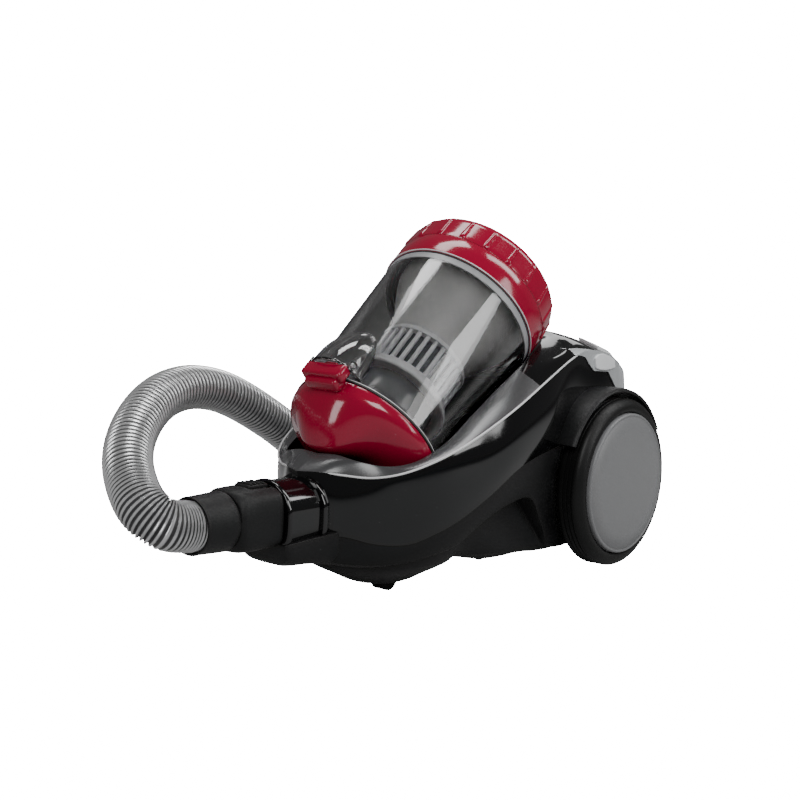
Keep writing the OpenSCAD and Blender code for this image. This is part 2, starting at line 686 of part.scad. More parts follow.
module lid_collar() color("#a51226") on_cup_axis() difference() {
    union() {
        rotate_extrude() lid_outline();
        for (a = [7.5:15:352.5]) rotate([0, 0, a]) translate([lid_top_r - 2, -2.2, lid_h - 32])
            rotate([0, -4, 0]) cube([9.2, 4.4, 24]);
    }
    translate([0, 0, -1]) cylinder(r = lid_r - 7.6, h = lid_h - 16);
    translate([0, 0, -1]) cylinder(r = lid_top_r - 9, h = lid_h - 2);
    translate([0, 0, 28]) rotate([0, 90, 0]) cylinder(r = 17, h = 90);
}

// ---------- hose ----------

module connector_body() color("#1c1c1e") on_port_axis() difference() {
    union() {
        translate([0, 0, -29.5]) cylinder(r = port_bore_r - 0.2, h = 30);
        translate([0, 0, 0.4]) cylinder(r = 29, h = 34);
        translate([0, 0, 34]) cylinder(r1 = 29, r2 = 23, h = 14);
        translate([14, -13, 0.4]) cube([19, 26, 46]);
    }
    translate([0, 0, -30]) cylinder(r = 17, h = 90);
    translate([0, 0, 28]) cylinder(r = cuff_r + run, h = 30);
    translate([24, -9.5, 3]) cube([20, 19, 36]);
}
module connector_button() color("#28282a") on_port_axis() {
    translate([27, -9, 4]) cube([7, 18, 34]);
    for (z = [8:5:33]) translate([34, -9, z]) cube([1.5, 18, 2.5]);
}
module hose_cuff() color("#1c1c1e") on_port_axis() difference() {
    union() {
        translate([0, 0, 28.3]) cylinder(r = cuff_r, h = 22);
        translate([0, 0, 49]) cylinder(r1 = 24, r2 = 23, h = 33);
    }
    translate([0, 0, 20]) cylinder(r = 16.5, h = 45);
    translate([0, 0, 58]) cylinder(r = hose_d/2 + 0.8, h = 30);
}
hose_route = [
    [-277, 0, 103], [-301, 0, 105], [-322, 4, 111], [-329, 20, 124], [-316, 48, 141], [-294, 74, 155],
    [-264, 98, 168], [-228, 120, 178], [-189, 139, 182], [-145, 156, 179], [-95, 171, 166],
    [-38, 185, 140], [25, 200, 104], [85, 222, 62], [140, 250, 32], [200, 270, 22], [262, 262, 21],
    [306, 222, 21], [320, 170, 21], [306, 118, 21]
];
hose_curve = smooth(hose_route, 3);
module hose_tube() color("#9da0a3") sweep(hose_curve, hose_d/2 - 0.2, 12);

handle_path = smooth([
    [306, 118, 22.4], [298, 94, 22.4], [292, 70, 24], [290, 44, 27], [290, 18, 27], [290, 2, 25],
    [290, -8, 24], spigot_from
], 3);
module wand_handle() color("#1c1c1e") {
    sweep_tube(handle_path, 22.2, 14, 16);
    along_y(spigot_from[0], spigot_from[1] - spigot_len, spigot_from[2]) rotate_extrude() polygon([
        [spigot_bore_r, 0], [spigot_r, 0], [spigot_r, spigot_len - neck_len],
        [spigot_r - 1, spigot_len - neck_len],
        [spigot_r - 1, spigot_len + 1], [spigot_bore_r, spigot_len + 1]
    ]);
}
module suction_slider() color("#2c2c2e") box([281, 24, 50.1], [299, 42, 54.1]);

module screws() color("silver") at_screws() {
    cylinder(r = 3.2, h = 2);
    cylinder(r = 1.5, h = 16);
}

lower_chassis();
upper_shell();
cradle();
fenders();
hose_port();
port_seal();
inlet_duct();
outlet_duct();
pre_motor_filter();
motor_housing();
motor_stator();
motor_mounts();
motor_shaft();
fan_impeller();
exhaust_filter();
exhaust_cover();
circuit_board();
power_switch();
reel_frame();
reel_drum();
reel_spring();
cord_grommet();
rear_axles();
left_tyre();
left_rim();
left_hub_cap();
right_tyre();
right_rim();
right_hub_cap();
caster_bush();
caster_fork();
caster_axle();
caster_wheel();
power_pedal();
rewind_pedal();
release_handle();
handle_pin();
dust_cup();
lid_seal();
door_seal();
hinge_pin();
bottom_door();
door_latch();
latch_pin();
cyclone_cone();
shroud_grille();
shroud_skirt();
vortex_tubes();
lid_collar();
connector_body();
connector_button();
hose_cuff();
hose_tube();
wand_handle();
suction_slider();
screws();
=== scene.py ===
"""Canister vacuum cleaner: the looks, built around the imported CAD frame.

Shapes are written in millimetres.
"""

import json
import math

import bmesh
import bpy
import numpy as np
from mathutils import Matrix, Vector
from mathutils.bvhtree import BVHTree


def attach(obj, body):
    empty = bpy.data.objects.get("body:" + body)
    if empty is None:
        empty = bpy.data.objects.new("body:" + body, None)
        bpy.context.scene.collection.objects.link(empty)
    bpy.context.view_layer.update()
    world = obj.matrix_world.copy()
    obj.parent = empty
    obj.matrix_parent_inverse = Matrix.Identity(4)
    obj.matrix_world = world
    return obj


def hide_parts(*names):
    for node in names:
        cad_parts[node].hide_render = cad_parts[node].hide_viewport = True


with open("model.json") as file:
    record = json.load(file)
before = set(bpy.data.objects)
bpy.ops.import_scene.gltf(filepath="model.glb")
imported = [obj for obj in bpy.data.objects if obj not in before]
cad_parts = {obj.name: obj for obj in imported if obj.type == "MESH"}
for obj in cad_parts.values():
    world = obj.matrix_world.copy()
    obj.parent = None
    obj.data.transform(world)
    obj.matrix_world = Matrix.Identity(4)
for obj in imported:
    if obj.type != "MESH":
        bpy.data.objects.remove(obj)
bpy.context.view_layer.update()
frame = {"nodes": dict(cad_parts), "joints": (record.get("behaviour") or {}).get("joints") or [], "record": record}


MM = 0.001


# ---------- places that the CAD frame gives ----------


def joint(name):
    return next(j for j in frame["joints"] if j["name"] == name)


LID_RIM = np.array(joint("lid_twist")["pos_m"]) / MM
CUP_AXIS = np.array(joint("lid_twist")["axis"])
CUP_DOWN = np.array([CUP_AXIS[2], 0.0, -CUP_AXIS[0]])
PORT_MOUTH = np.array(joint("hose_swivel")["pos_m"]) / MM
PORT_AXIS = np.array(joint("hose_swivel")["axis"])
PORT_UP = np.array([PORT_AXIS[2], 0.0, -PORT_AXIS[0]])
WHEEL = np.array(joint("right_wheel_spin")["pos_m"]) / MM
CASTER = np.array(joint("caster_swivel")["pos_m"]) / MM


def on_cup(points):
    """Points on the cup's own axes: +z to the lid, -x to the top front."""
    p = np.asarray(points, float)
    side = np.array([0.0, 1.0, 0.0])
    return LID_RIM + p[..., :1] * CUP_DOWN + p[..., 1:2] * side + p[..., 2:3] * CUP_AXIS


def off_cup(points):
    p = np.asarray(points, float) - LID_RIM
    return np.stack([p @ CUP_DOWN, p[..., 1], p @ CUP_AXIS], axis=-1)


def on_port(points):
    """Points on the hose port's own axes: +z out of the mouth, +x to its top."""
    p = np.asarray(points, float)
    side = np.array([0.0, 1.0, 0.0])
    return PORT_MOUTH + p[..., :1] * PORT_UP + p[..., 1:2] * side + p[..., 2:3] * PORT_AXIS


# ---------- meshes ----------


def smooth(points, steps):
    """The same smooth curve through points that the CAD uses."""
    p = np.asarray(points, float)
    last = len(p) - 1
    out = []
    for i in range(last):
        a, b, c, d = p[max(i - 1, 0)], p[i], p[i + 1], p[min(i + 2, last)]
        for k in range(steps):
            t = k / steps
            out.append(
                0.5
                * (
                    2 * b
                    + (c - a) * t
                    + (2 * a - 5 * b + 4 * c - d) * t * t
                    + (3 * b - a - 3 * c + d) * t**3
                )
            )
    out.append(p[last])
    return np.array(out)


class Shape:
    """Vertices and faces in millimetres, gathered piece by piece."""

    def __init__(self):
        self.verts = []
        self.faces = []

    def grid(self, points, wrap_rows=False, wrap_cols=False, flip=False):
        g = np.asarray(points, float)
        rows, cols = g.shape[:2]
        base = len(self.verts)
        self.verts.extend(g.reshape(-1, 3).tolist())
        for i in range(rows if wrap_rows else rows - 1):
            for j in range(cols if wrap_cols else cols - 1):
                a, b = i * cols + j, i * cols + (j + 1) % cols
                c, d = ((i + 1) % rows) * cols + (j + 1) % cols, ((i + 1) % rows) * cols + j
                face = [base + a, base + b, base + c, base + d]
                self.faces.append(face[::-1] if flip else face)
        return base

    def cap(self, base, count, flip=False):
        face = list(range(base, base + count))
        self.faces.append(face[::-1] if flip else face)

    def make(self, name, body, slot, material, replaces=(), bevel=0.0, angle=35, merge=0.02, second=None):
        mesh = bpy.data.meshes.new(name)
        mesh.from_pydata((np.array(self.verts) * MM).tolist(), [], self.faces)
        bm = bmesh.new()
        bm.from_mesh(mesh)
        bmesh.ops.remove_doubles(bm, verts=bm.verts, dist=merge * MM)
        bmesh.ops.dissolve_degenerate(bm, edges=bm.edges, dist=merge * MM / 2)
        bmesh.ops.recalc_face_normals(bm, faces=bm.faces)
        bm.to_mesh(mesh)
        bm.free()
        obj = bpy.data.objects.new(name, mesh)
        bpy.context.scene.collection.objects.link(obj)
        mesh.materials.append(material)
        if second:
            mesh.materials.append(second[0])
            picks = [int(second[1](f)) for f in range(len(mesh.polygons))]
            mesh.polygons.foreach_set("material_index", picks)
        finish_edges(obj, bevel, angle)
        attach(obj, body)
        if replaces:
            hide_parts(*replaces)
        return obj


def finish_edges(obj, bevel, angle):
    """Small rounded edges, then smooth shading that breaks at sharp corners."""
    if bevel:
        m = obj.modifiers.new("edges", "BEVEL")
        m.width = bevel * MM
        m.segments = 3
        m.limit_method = "ANGLE"
        m.angle_limit = math.radians(angle)
        m.harden_normals = False
    bpy.context.view_layer.objects.active = obj
    apply_modifiers(obj)
    obj.data.polygons.foreach_set("use_smooth", [True] * len(obj.data.polygons))
    obj.data.set_sharp_from_angle(angle=math.radians(50))


def apply_modifiers(obj):
    if not obj.modifiers:
        return
    done = bpy.data.meshes.new_from_object(obj.evaluated_get(bpy.context.evaluated_depsgraph_get()))
    obj.modifiers.clear()
    obj.data = done


def circle(radius, count, start=0.0, stop=360.0, closed=True):
    a = np.radians(np.linspace(start, stop, count, endpoint=not closed))
    return np.stack([radius * np.cos(a), radius * np.sin(a)], axis=-1)


def lathe(shape, profile, count, place=lambda p: p, ripple=None):
    """A profile of (radius, height) turned about z, then placed. Ripple changes the radius round the turn."""
    rows = []
    for r, z in profile:
        a = np.radians(np.linspace(0, 360, count, endpoint=False))
        rr = np.full(count, r, float) if ripple is None else ripple(r, z, a)
        rows.append(np.stack([rr * np.cos(a), rr * np.sin(a), np.full(count, z, float)], axis=-1))
    shape.grid(place(np.array(rows)), wrap_cols=True)


def arc(cx, cz, r, start, stop, steps=6):
    """Points of a fillet on a profile, by angle in degrees."""
    a = np.radians(np.linspace(start, stop, steps))
    return [(cx + r * math.cos(t), cz + r * math.sin(t)) for t in a]


def wheel_place(side):
    """Lays a lathe's axis across the body, pointing outwards on that side."""
    return lambda p: np.stack(
        [WHEEL[0] + p[..., 0], side * p[..., 2], WHEEL[2] + p[..., 1]], axis=-1
    )


def rounded_box(shape, low, high, radius, place=lambda p: p, steps=4):
    """A box with every edge rounded, as stacked rounded rectangles."""
    low, high = np.array(low, float), np.array(high, float)
    r = min(radius, *((high - low) / 2.01))
    rows = []
    heights = []
    for t in np.linspace(math.pi / 2, 0, steps):
        heights.append((low[2] + r * (1 - math.sin(t)), r * (1 - math.cos(t))))
    for t in np.linspace(0, math.pi / 2, steps):
        heights.append((high[2] - r * (1 - math.sin(t)), r * (1 - math.cos(t))))
    corners = [
        (high[0] - r, high[1] - r, 0), (low[0] + r, high[1] - r, 90),
        (low[0] + r, low[1] + r, 180), (high[0] - r, low[1] + r, 270),
    ]
    for z, inset in heights:
        ring = []
        for cx, cy, a0 in corners:
            for x, y in arc(cx, cy, r - inset, a0, a0 + 90, steps):
                ring.append((x, y, z))
        rows.append(ring)
    rows = np.array(rows)
    base = shape.grid(place(rows), wrap_cols=True)
    count = rows.shape[1]
    shape.cap(base, count)
    shape.cap(base + (len(rows) - 1) * count, count, flip=True)


# ---------- materials ----------


def node(tree, kind, **values):
    n = tree.nodes.new(kind)
    for key, value in values.items():
        n.inputs[key].default_value = value
    return n


def moulded(name, colour, roughness, mottle=0.08, mottle_scale=30.0, grain=0.03, grain_scale=1500.0,
            rough_spread=0.05, sockets=None):
    """Moulded plastic, rubber or metal: a soft colour drift, uneven gloss and a fine surface grain."""
    m = bpy.data.materials.new(name)
    m.use_nodes = True
    tree = m.node_tree
    shader = tree.nodes["Principled BSDF"]
    place = tree.nodes.new("ShaderNodeTexCoord")
    drift = node(tree, "ShaderNodeTexNoise", Scale=mottle_scale, Detail=4.0)
    tree.links.new(place.outputs["Object"], drift.inputs["Vector"])
    mix = tree.nodes.new("ShaderNodeMix")
    mix.data_type = "RGBA"
    mix.inputs[6].default_value = (*[c * (1 - mottle) for c in colour], 1)
    mix.inputs[7].default_value = (*[min(c * (1 + mottle), 1) for c in colour], 1)
    tree.links.new(drift.outputs["Fac"], mix.inputs[0])
    tree.links.new(mix.outputs[2], shader.inputs["Base Color"])
    gloss = node(tree, "ShaderNodeMapRange")
    gloss.inputs["To Min"].default_value = max(roughness - rough_spread, 0.01)
    gloss.inputs["To Max"].default_value = roughness + rough_spread
    tree.links.new(drift.outputs["Fac"], gloss.inputs["Value"])
    tree.links.new(gloss.outputs["Result"], shader.inputs["Roughness"])
    if grain:
        fine = node(tree, "ShaderNodeTexNoise", Scale=grain_scale, Detail=3.0)
        tree.links.new(place.outputs["Object"], fine.inputs["Vector"])
        bump = node(tree, "ShaderNodeBump", Strength=grain, Distance=0.0006)
        tree.links.new(fine.outputs["Fac"], bump.inputs["Height"])
        tree.links.new(bump.outputs["Normal"], shader.inputs["Normal"])
    for key, value in (sockets or {}).items():
        shader.inputs[key].default_value = value
    return m


SHELL = moulded("shell_black", (0.002, 0.002, 0.0023), 0.07, grain=0.01, rough_spread=0.02)
# Lighter grey for the shoulder band: a painted reflection on the gloss black shell.
SHOULDER_SHEEN = moulded("shell_shoulder_painted_sheen", (0.05, 0.05, 0.052), 0.24, grain=0.01, rough_spread=0.02)
# Light grey for a thin bead along the crease: a painted highlight for the bright line on the crease's edge.
CREASE_HIGHLIGHT = moulded("shell_edge_painted_highlight", (0.6, 0.6, 0.605), 0.3, grain=0.02)
CHASSIS = moulded("chassis_black", (0.004, 0.004, 0.0043), 0.46, grain=0.25, grain_scale=2600.0,
                  sockets={"Specular IOR Level": 0.25})
RED = moulded("lid_red", (0.25, 0.002, 0.023), 0.12, mottle=0.05, grain=0.01, rough_spread=0.03)
CLEAR_MATERIAL = moulded("cup_clear", (0.79, 0.79, 0.79), 0.03, mottle=0.01, grain=0.004, rough_spread=0.01,
                         sockets={"Transmission Weight": 1.0, "IOR": 1.47})
FROSTED = moulded("cup_frosted", (0.4, 0.41, 0.42), 0.35, mottle=0.02, grain=0.1,
                  sockets={"Transmission Weight": 0.35, "IOR": 1.47})
INNER = moulded("inner_grey", (0.2, 0.2, 0.205), 0.35, grain=0.08)
LIGHT = moulded("inner_light", (0.6, 0.61, 0.62), 0.35, grain=0.05)
SMOKED = moulded("inner_smoked", (0.09, 0.09, 0.095), 0.3, grain=0.05)
HUB = moulded("hub_grey", (0.145, 0.147, 0.151), 0.42, mottle=0.04, grain=0.12, grain_scale=2200.0)
TYRE = moulded("tyre", (0.004, 0.004, 0.004), 0.42, grain=0.12, sockets={"Specular IOR Level": 0.22})
# Near-black for the hose's valley faces: painted shade in the grooves between the ribs.
HOSE_VALLEY_SHADE = moulded("hose_valley_painted_shade", (0.035, 0.035, 0.036), 0.5, grain=0.05)
HOSE = moulded("hose_grey", (0.5, 0.503, 0.507), 0.24, grain=0.05, sockets={"Metallic": 0.6})
SILVER = moulded("handle_silver", (0.5, 0.52, 0.53), 0.34, grain=0.06, sockets={"Metallic": 0.5})
STEEL = moulded("steel", (0.6, 0.6, 0.62), 0.3, grain=0.1, sockets={"Metallic": 1.0})
COPPER = moulded("copper", (0.6, 0.28, 0.12), 0.35, mottle=0.25, mottle_scale=200.0, grain=0.4,
                 sockets={"Metallic": 0.9})
BOARD = moulded("board", (0.02, 0.16, 0.06), 0.4, mottle=0.2, mottle_scale=160.0)
FOAM = moulded("foam", (0.72, 0.71, 0.67), 0.95, mottle=0.12, mottle_scale=120.0, grain=1.0,
               grain_scale=700.0)
SEAL = moulded("seal", (0.015, 0.015, 0.015), 0.6, grain=0.1)
BUSH = moulded("bush", (0.6, 0.45, 0.2), 0.45, grain=0.2, sockets={"Metallic": 1.0})
CONE = moulded("cone_grey", (0.6, 0.6, 0.6), 0.3, grain=0.04, sockets={"Transmission Weight": 0.25})
SMOKED_CLEAR = moulded("tube_smoked", (0.3, 0.3, 0.31), 0.15, grain=0.03,
                       sockets={"Transmission Weight": 0.4})
FLOOR = moulded("floor_white", (0.4, 0.4, 0.4), 0.8, mottle=0.004, grain=0)
FLOOR_GLOW = 26.0
BACKDROP_LEVEL = 28.0
SURROUND_LEVEL = 0.13

SLOTS = {
    "shell_black": SHELL, "chassis_black": CHASSIS, "lid_red": RED, "cup_clear": CLEAR_MATERIAL,
    "inner_grey": INNER, "inner_light": LIGHT, "hub_grey": HUB, "tyre": TYRE, "hose_grey": HOSE,
    "handle_silver": SILVER,
    "steel": STEEL, "copper": COPPER, "board": BOARD, "foam": FOAM, "seal": SEAL, "bush": BUSH,
}


def dress_cad_nodes():
    """Every CAD node that stays in view gets the finish of its slot."""
    for part in frame["record"]["subparts"]:
        obj = frame["nodes"][part["node"]]
        obj.data.materials.clear()
        obj.data.materials.append(SLOTS[part["material_slot"]])
        obj.data.polygons.foreach_set("use_smooth", [True] * len(obj.data.polygons))
        obj.data.set_sharp_from_angle(angle=math.radians(32))


dress_cad_nodes()

# ---------- camera and studio ----------

CAMERA_AT = (-1.0344, -0.8036, 0.3815)
CAMERA_AIM = (-0.042, 0.0, 0.170)
CAMERA_LENS = 64.96
SENSOR_WIDTH = 36
FLOOR_HALF = 6000
FLOOR_LEVEL = -0.2


def make_camera():
    data = bpy.data.cameras.new("camera")
    cam = bpy.data.objects.new("camera", data)
    bpy.context.scene.collection.objects.link(cam)
    data.sensor_width = SENSOR_WIDTH
    data.lens = CAMERA_LENS
    cam.location = CAMERA_AT
    cam.rotation_euler = (Vector(CAMERA_AIM) - Vector(CAMERA_AT)).to_track_quat("-Z", "Y").to_euler()
    bpy.context.scene.camera = cam


def area_light(name, at, aim, size, power):
    data = bpy.data.lights.new(name, "AREA")
    data.shape = "RECTANGLE"
    data.size, data.size_y = size
    data.energy = power
    obj = bpy.data.objects.new(name, data)
    obj.location = at
    obj.rotation_euler = (Vector(aim) - Vector(at)).to_track_quat("-Z", "Y").to_euler()
    bpy.context.scene.collection.objects.link(obj)


def brighten_floor():
    """The floor glows towards the camera only, so that it reads as white paper and still takes a shadow."""
    tree = FLOOR.node_tree
    shader = tree.nodes["Principled BSDF"]
    path = tree.nodes.new("ShaderNodeLightPath")
    glow = node(tree, "ShaderNodeMapRange")
    glow.inputs["To Min"].default_value = 0.0
    glow.inputs["To Max"].default_value = FLOOR_GLOW
    tree.links.new(path.outputs["Is Camera Ray"], glow.inputs["Value"])
    tree.links.new(glow.outputs["Result"], shader.inputs["Emission Strength"])
    shader.inputs["Emission Color"].default_value = (1, 1, 1, 1)


def make_studio():
    world = bpy.data.worlds.new("studio")
    bpy.context.scene.world = world
    world.use_nodes = True
    tree = world.node_tree
    back = tree.nodes["Background"]
    path = tree.nodes.new("ShaderNodeLightPath")
    level = node(tree, "ShaderNodeMapRange")
    level.inputs["To Min"].default_value = SURROUND_LEVEL
    level.inputs["To Max"].default_value = BACKDROP_LEVEL
    tree.links.new(path.outputs["Is Camera Ray"], level.inputs["Value"])
    tree.links.new(level.outputs["Result"], back.inputs["Strength"])
    back.inputs["Color"].default_value = (1, 1, 1, 1)
    middle = (0.0, 0.0, 0.15)
    area_light("key", (-0.9, -1.2, 1.5), middle, (0.7, 0.9), 22)
    area_light("side", (0.6, -1.7, 0.9), middle, (0.5, 1.0), 12)
    area_light("front", (-1.9, 0.5, 0.7), middle, (0.5, 1.0), 12)
    area_light("top", (0.3, 0.4, 1.9), middle, (0.9, 0.5), 16)
    area_light("crest", (0.95, -0.75, 1.35), middle, (0.35, 1.1), 12)
    area_light("rear", (1.7, 0.85, 1.05), middle, (0.9, 0.5), 3.5)
    floor = Shape()
    edges = (-FLOOR_HALF, FLOOR_HALF)
    floor.grid(np.array([[[x, y, FLOOR_LEVEL] for x in edges] for y in edges]))
    mesh = bpy.data.meshes.new("floor")
    mesh.from_pydata((np.array(floor.verts) * MM).tolist(), [], floor.faces)
    obj = bpy.data.objects.new("floor", mesh)
    bpy.context.scene.collection.objects.link(obj)
    mesh.materials.append(FLOOR)
    brighten_floor()


make_camera()
make_studio()

# ---------- hose ----------

HOSE_ROUTE = [
    (-277, 0, 103), (-301, 0, 105), (-322, 4, 111), (-329, 20, 124), (-316, 48, 141), (-294, 74, 155),
    (-264, 98, 168), (-228, 120, 178), (-189, 139, 182), (-145, 156, 179), (-95, 171, 166),
    (-38, 185, 140), (25, 200, 104), (85, 222, 62), (140, 250, 32), (200, 270, 22), (262, 262, 21),
    (306, 222, 21), (320, 170, 21), (306, 118, 21),
]
HOSE_D = 40.6
RIB_STEPS = 8
RIB_DEPTH = 2.4
SHADED_VALLEY_STEPS = (1, 6)
RIB_PITCH_AT = [
    (0, 2.9), (60, 2.7), (90, 3.6), (110, 5.0), (150, 5.8), (210, 6.4), (280, 7.0), (400, 6.6), (600, 5.4),
]


def even_path(points, step):
    """The curve cut into even steps, with the length it had."""
    p = smooth(points, 40)
    d = np.concatenate([[0], np.cumsum(np.linalg.norm(np.diff(p, axis=0), axis=1))])
    n = max(2, round(d[-1] / step))
    s = np.linspace(0, d[-1], n + 1)
    return np.stack([np.interp(s, d, p[:, k]) for k in range(3)], axis=-1), d[-1]


def carried_frames(path):
    """A side and an up direction at each point that don't twist along the path."""
    t = np.gradient(path, axis=0)
    t /= np.linalg.norm(t, axis=1)[:, None]
    u = np.cross(t[0], (0.0, 1.0, 0.0))
    out = []
    for row in t:
        u = u - row * (u @ row)
        u /= np.linalg.norm(u)
        out.append((u.copy(), np.cross(row, u)))
    return out


def ribbed_path(points):
    """The curve cut into steps that follow the rib pitch, which grows where the hose is pulled longer."""
    fine, length = even_path(points, 0.5)
    along = np.linspace(0, length, len(fine))
    pitch = np.interp(along, *zip(*RIB_PITCH_AT))
    phase = np.concatenate([[0], np.cumsum(np.diff(along) / pitch[1:])])
    count = round(phase[-1] * RIB_STEPS)
    at = np.interp(np.linspace(0, phase[-1], count + 1), phase, along)
    return np.stack([np.interp(at, along, fine[:, k]) for k in range(3)], axis=-1), length


def make_hose():
    path, length = ribbed_path(HOSE_ROUTE)
    frames = carried_frames(path)
    ring = circle(1.0, 40)
    rows = []
    for i, (p, (u, v)) in enumerate(zip(path, frames)):
        wave = 0.5 + 0.5 * math.cos(2 * math.pi * i / RIB_STEPS)
        r = HOSE_D / 2 - RIB_DEPTH * (1 - wave)
        rows.append(p + r * (ring[:, :1] * u + ring[:, 1:] * v))
    s = Shape()
    base = s.grid(np.array(rows), wrap_cols=True)
    s.cap(base, len(ring))
    s.cap(base + (len(rows) - 1) * len(ring), len(ring), flip=True)

    # Valley faces get the near-black material as painted shade in the grooves.
    def in_shaded_valley(face):
        return SHADED_VALLEY_STEPS[0] < (face // len(ring)) % RIB_STEPS < SHADED_VALLEY_STEPS[1]

    hose = s.make("hose", "chassis", "hose_grey", HOSE, replaces=["hose_tube"], second=(HOSE_VALLEY_SHADE, in_shaded_valley))
    return hose, path, length


hose, hose_path, hose_length = make_hose()
CUFF_END = 82.0


def sweep_rings(path, radius_at, sides, squash=1.0):
    """Rings of a tube along a path, with a radius for every point."""
    frames = carried_frames(path)
    ring = circle(1.0, sides)
    return np.array(
        [
            p + r * (ring[:, :1] * u + squash * ring[:, 1:] * v)
            for p, (u, v), r in zip(path, frames, radius_at)
        ]
    )


HANDLE_PATH = [
    (306, 118, 22.4), (298, 94, 22.4), (292, 70, 24), (290, 44, 27), (290, 18, 27), (290, 2, 25),
    (290, -8, 24), (290, -16, 24),
]


def make_wand_rings():
    """Raised grip rings round the wand handle's hose end."""
    path, length = even_path(HANDLE_PATH, 2.5)
    share = np.linspace(0, length, len(path))
    rings = Shape()
    for k in range(5):
        i = int(np.searchsorted(share, 10 + 5 * k))
        t = (path[i + 1] - path[i]) / np.linalg.norm(path[i + 1] - path[i])
        pts = np.array([path[i] + t * o for o in (-1.2, -0.6, 0.6, 1.2)])
        rings.grid(sweep_rings(pts, [21.6, 22.3, 22.3, 21.6], 40), wrap_cols=True)
    return rings.make("wand_rings", "chassis", "chassis_black", CHASSIS)


POCKET_Z = (2.9, 28.1)
POCKET_HALF = 10.4
POCKET_FLOOR = 18.6


def section(angles, lower, power=3.2, hump=0.0):
    """A rounded-square ring on the port's axes, with a narrower hump on its top."""
    c, s = np.cos(angles), np.sin(angles)
    square = lower / (np.abs(c) ** power + np.abs(s) ** power) ** (1 / power)
    round_top = np.full_like(angles, lower)
    mix = np.clip(c * 2.5, 0, 1) * (0.3 if hump else 1)
    r = square * (1 - mix) + round_top * mix
    y = r * s
    rise = hump * np.clip(1.6 - np.abs(y) / 11.0, 0, 1) ** 0.6 * (c > 0)
    x = r * c
    x = np.where((c > 0) & (rise > 0), np.maximum(x, np.minimum(lower + rise, x + rise)), x)
    return x, y


def port_rows(levels, sides=96, pocket=False):
    a = np.radians(np.linspace(0, 360, sides, endpoint=False))
    rows = []
    for z, lower, power, hump in levels:
        x, y = section(a, lower, power, hump)
        if pocket and POCKET_Z[0] < z < POCKET_Z[1]:
            x = np.where((x > 0) & (np.abs(y) < POCKET_HALF), np.minimum(x, POCKET_FLOOR), x)
        rows.append(np.stack([x, y, np.full_like(x, z)], axis=-1))
    return on_port(np.array(rows))


def make_connector():
    body = Shape()
    levels = [
        (0.8, 20, 2, 0), (0.8, 23.4, 4.6, 0.6), (1.6, 24.4, 4.6, 0.6), (2.9, 24.5, 4.6, 0.6),
        (2.95, 24.5, 4.6, 0.6), (12, 25, 4.6, 0.6), (28.05, 25.2, 4.4, 0.6), (28.1, 25.2, 4.4, 0.6),
        (32, 25.2, 4.4, 0.6), (41, 25, 4.0, 0.6), (44, 24.4, 3.4, 0.6), (46.4, 23.4, 2.8, 0.3),
        (47.8, 22.6, 2.1, 0.2), (48, 20.6, 2, 0), (30, 20.6, 2, 0),
    ]
    body.grid(port_rows(levels, pocket=True), wrap_cols=True)
    piece = body.make("connector", "chassis", "chassis_black", CHASSIS, replaces=["connector_body"])
    spigot = Shape()
    lathe(spigot, [(22.2, 1.5), (22.2, -29), (21.4, -29.8), (17, -29.8), (17, 28)], 48, on_port)
    inner = spigot.make("connector_spigot", "chassis", "chassis_black", CHASSIS)
    button = Shape()
    rounded_box(button, (22, -8.4, 4.2), (27.2, 8.4, 26.8), 1.6, on_port)
    for k in range(4):
        rounded_box(button, (26.4, -8.0, 8 + 4.6 * k), (28.4, 8.0, 10.4 + 4.6 * k), 0.9, on_port)
    press = button.make("button", "connector_button", "chassis_black", CHASSIS, replaces=["connector_button"])
    cuff = Shape()
    profile = [
        (20.0, 28.3), (20.0, 48.6), (23.4, 48.8), (24.1, 49.6), (24.2, 52), (23.9, 60), (23.1, 78),
        (23.3, 80.6), (22.9, CUFF_END), (21.6, CUFF_END), (21.3, 81), (21.3, 58), (16.5, 58), (16.5, 28.3),
    ]
    lathe(cuff, profile, 72, on_port)
    turn = cuff.make("cuff", "hose_cuff", "chassis_black", CHASSIS, replaces=["hose_cuff"])
    return [piece, inner, press, turn]


hose_ends = make_connector() + [make_wand_rings()]
hose_exit = on_port([0.0, 0.0, CUFF_END]) * MM

# ---------- hose port and nose tongue ----------


def make_port():
    s = Shape()
    levels = [
        (-60, 27, 4, 0), (-48, 27, 4, 0), (-46.5, 29.6, 4, 0), (-42, 30, 4, 0), (-40.5, 29.4, 4, 0),
        (-40, 27, 4, 0), (-6, 27, 4, 0), (-5, 28.6, 4, 0), (-1.0, 28.8, 4, 0), (-0.2, 28.2, 4, 0),
        (0, 27.2, 4, 0), (0, 24.5, 3, 0), (-0.4, 23, 2, 0), (-34, 22.6, 2, 0), (-34, 18, 2, 0),
        (-58, 18, 2, 0),
    ]
    s.grid(port_rows(levels), wrap_cols=True)
    s.make("port", "chassis", "shell_black", SHELL, replaces=["hose_port"])


def make_tongue():
    """The matte chin that carries the port."""
    stations = [
        (-220.6, 77.0, 70.0, 24.0), (-220.2, 77.2, 64.0, 26.0), (-217.5, 77.4, 58.6, 27.4),
        (-211, 77.6, 55.6, 28.4), (-202, 77.8, 54.0, 29.2), (-190, 77.8, 52.6, 30.0),
        (-174, 77.8, 50.0, 31.5), (-150, 77.8, 43.0, 33.0),
    ]
    rows = []
    for x, top, bottom, half in stations:
        a = np.radians(np.linspace(-90, 90, 25))
        bow = np.sign(np.sin(a)) * np.abs(np.sin(a)) ** 0.55 * half
        drop = top - (top - bottom) * np.abs(np.cos(a)) ** 0.55
        rows.append(np.stack([np.full_like(a, x), bow, drop], axis=-1))
    s = Shape()
    base = s.grid(np.array(rows), wrap_cols=True)
    s.cap(base, 25)
    s.make("tongue", "chassis", "chassis_black", CHASSIS, bevel=1.2)


make_port()
make_tongue()

# ---------- shell ----------

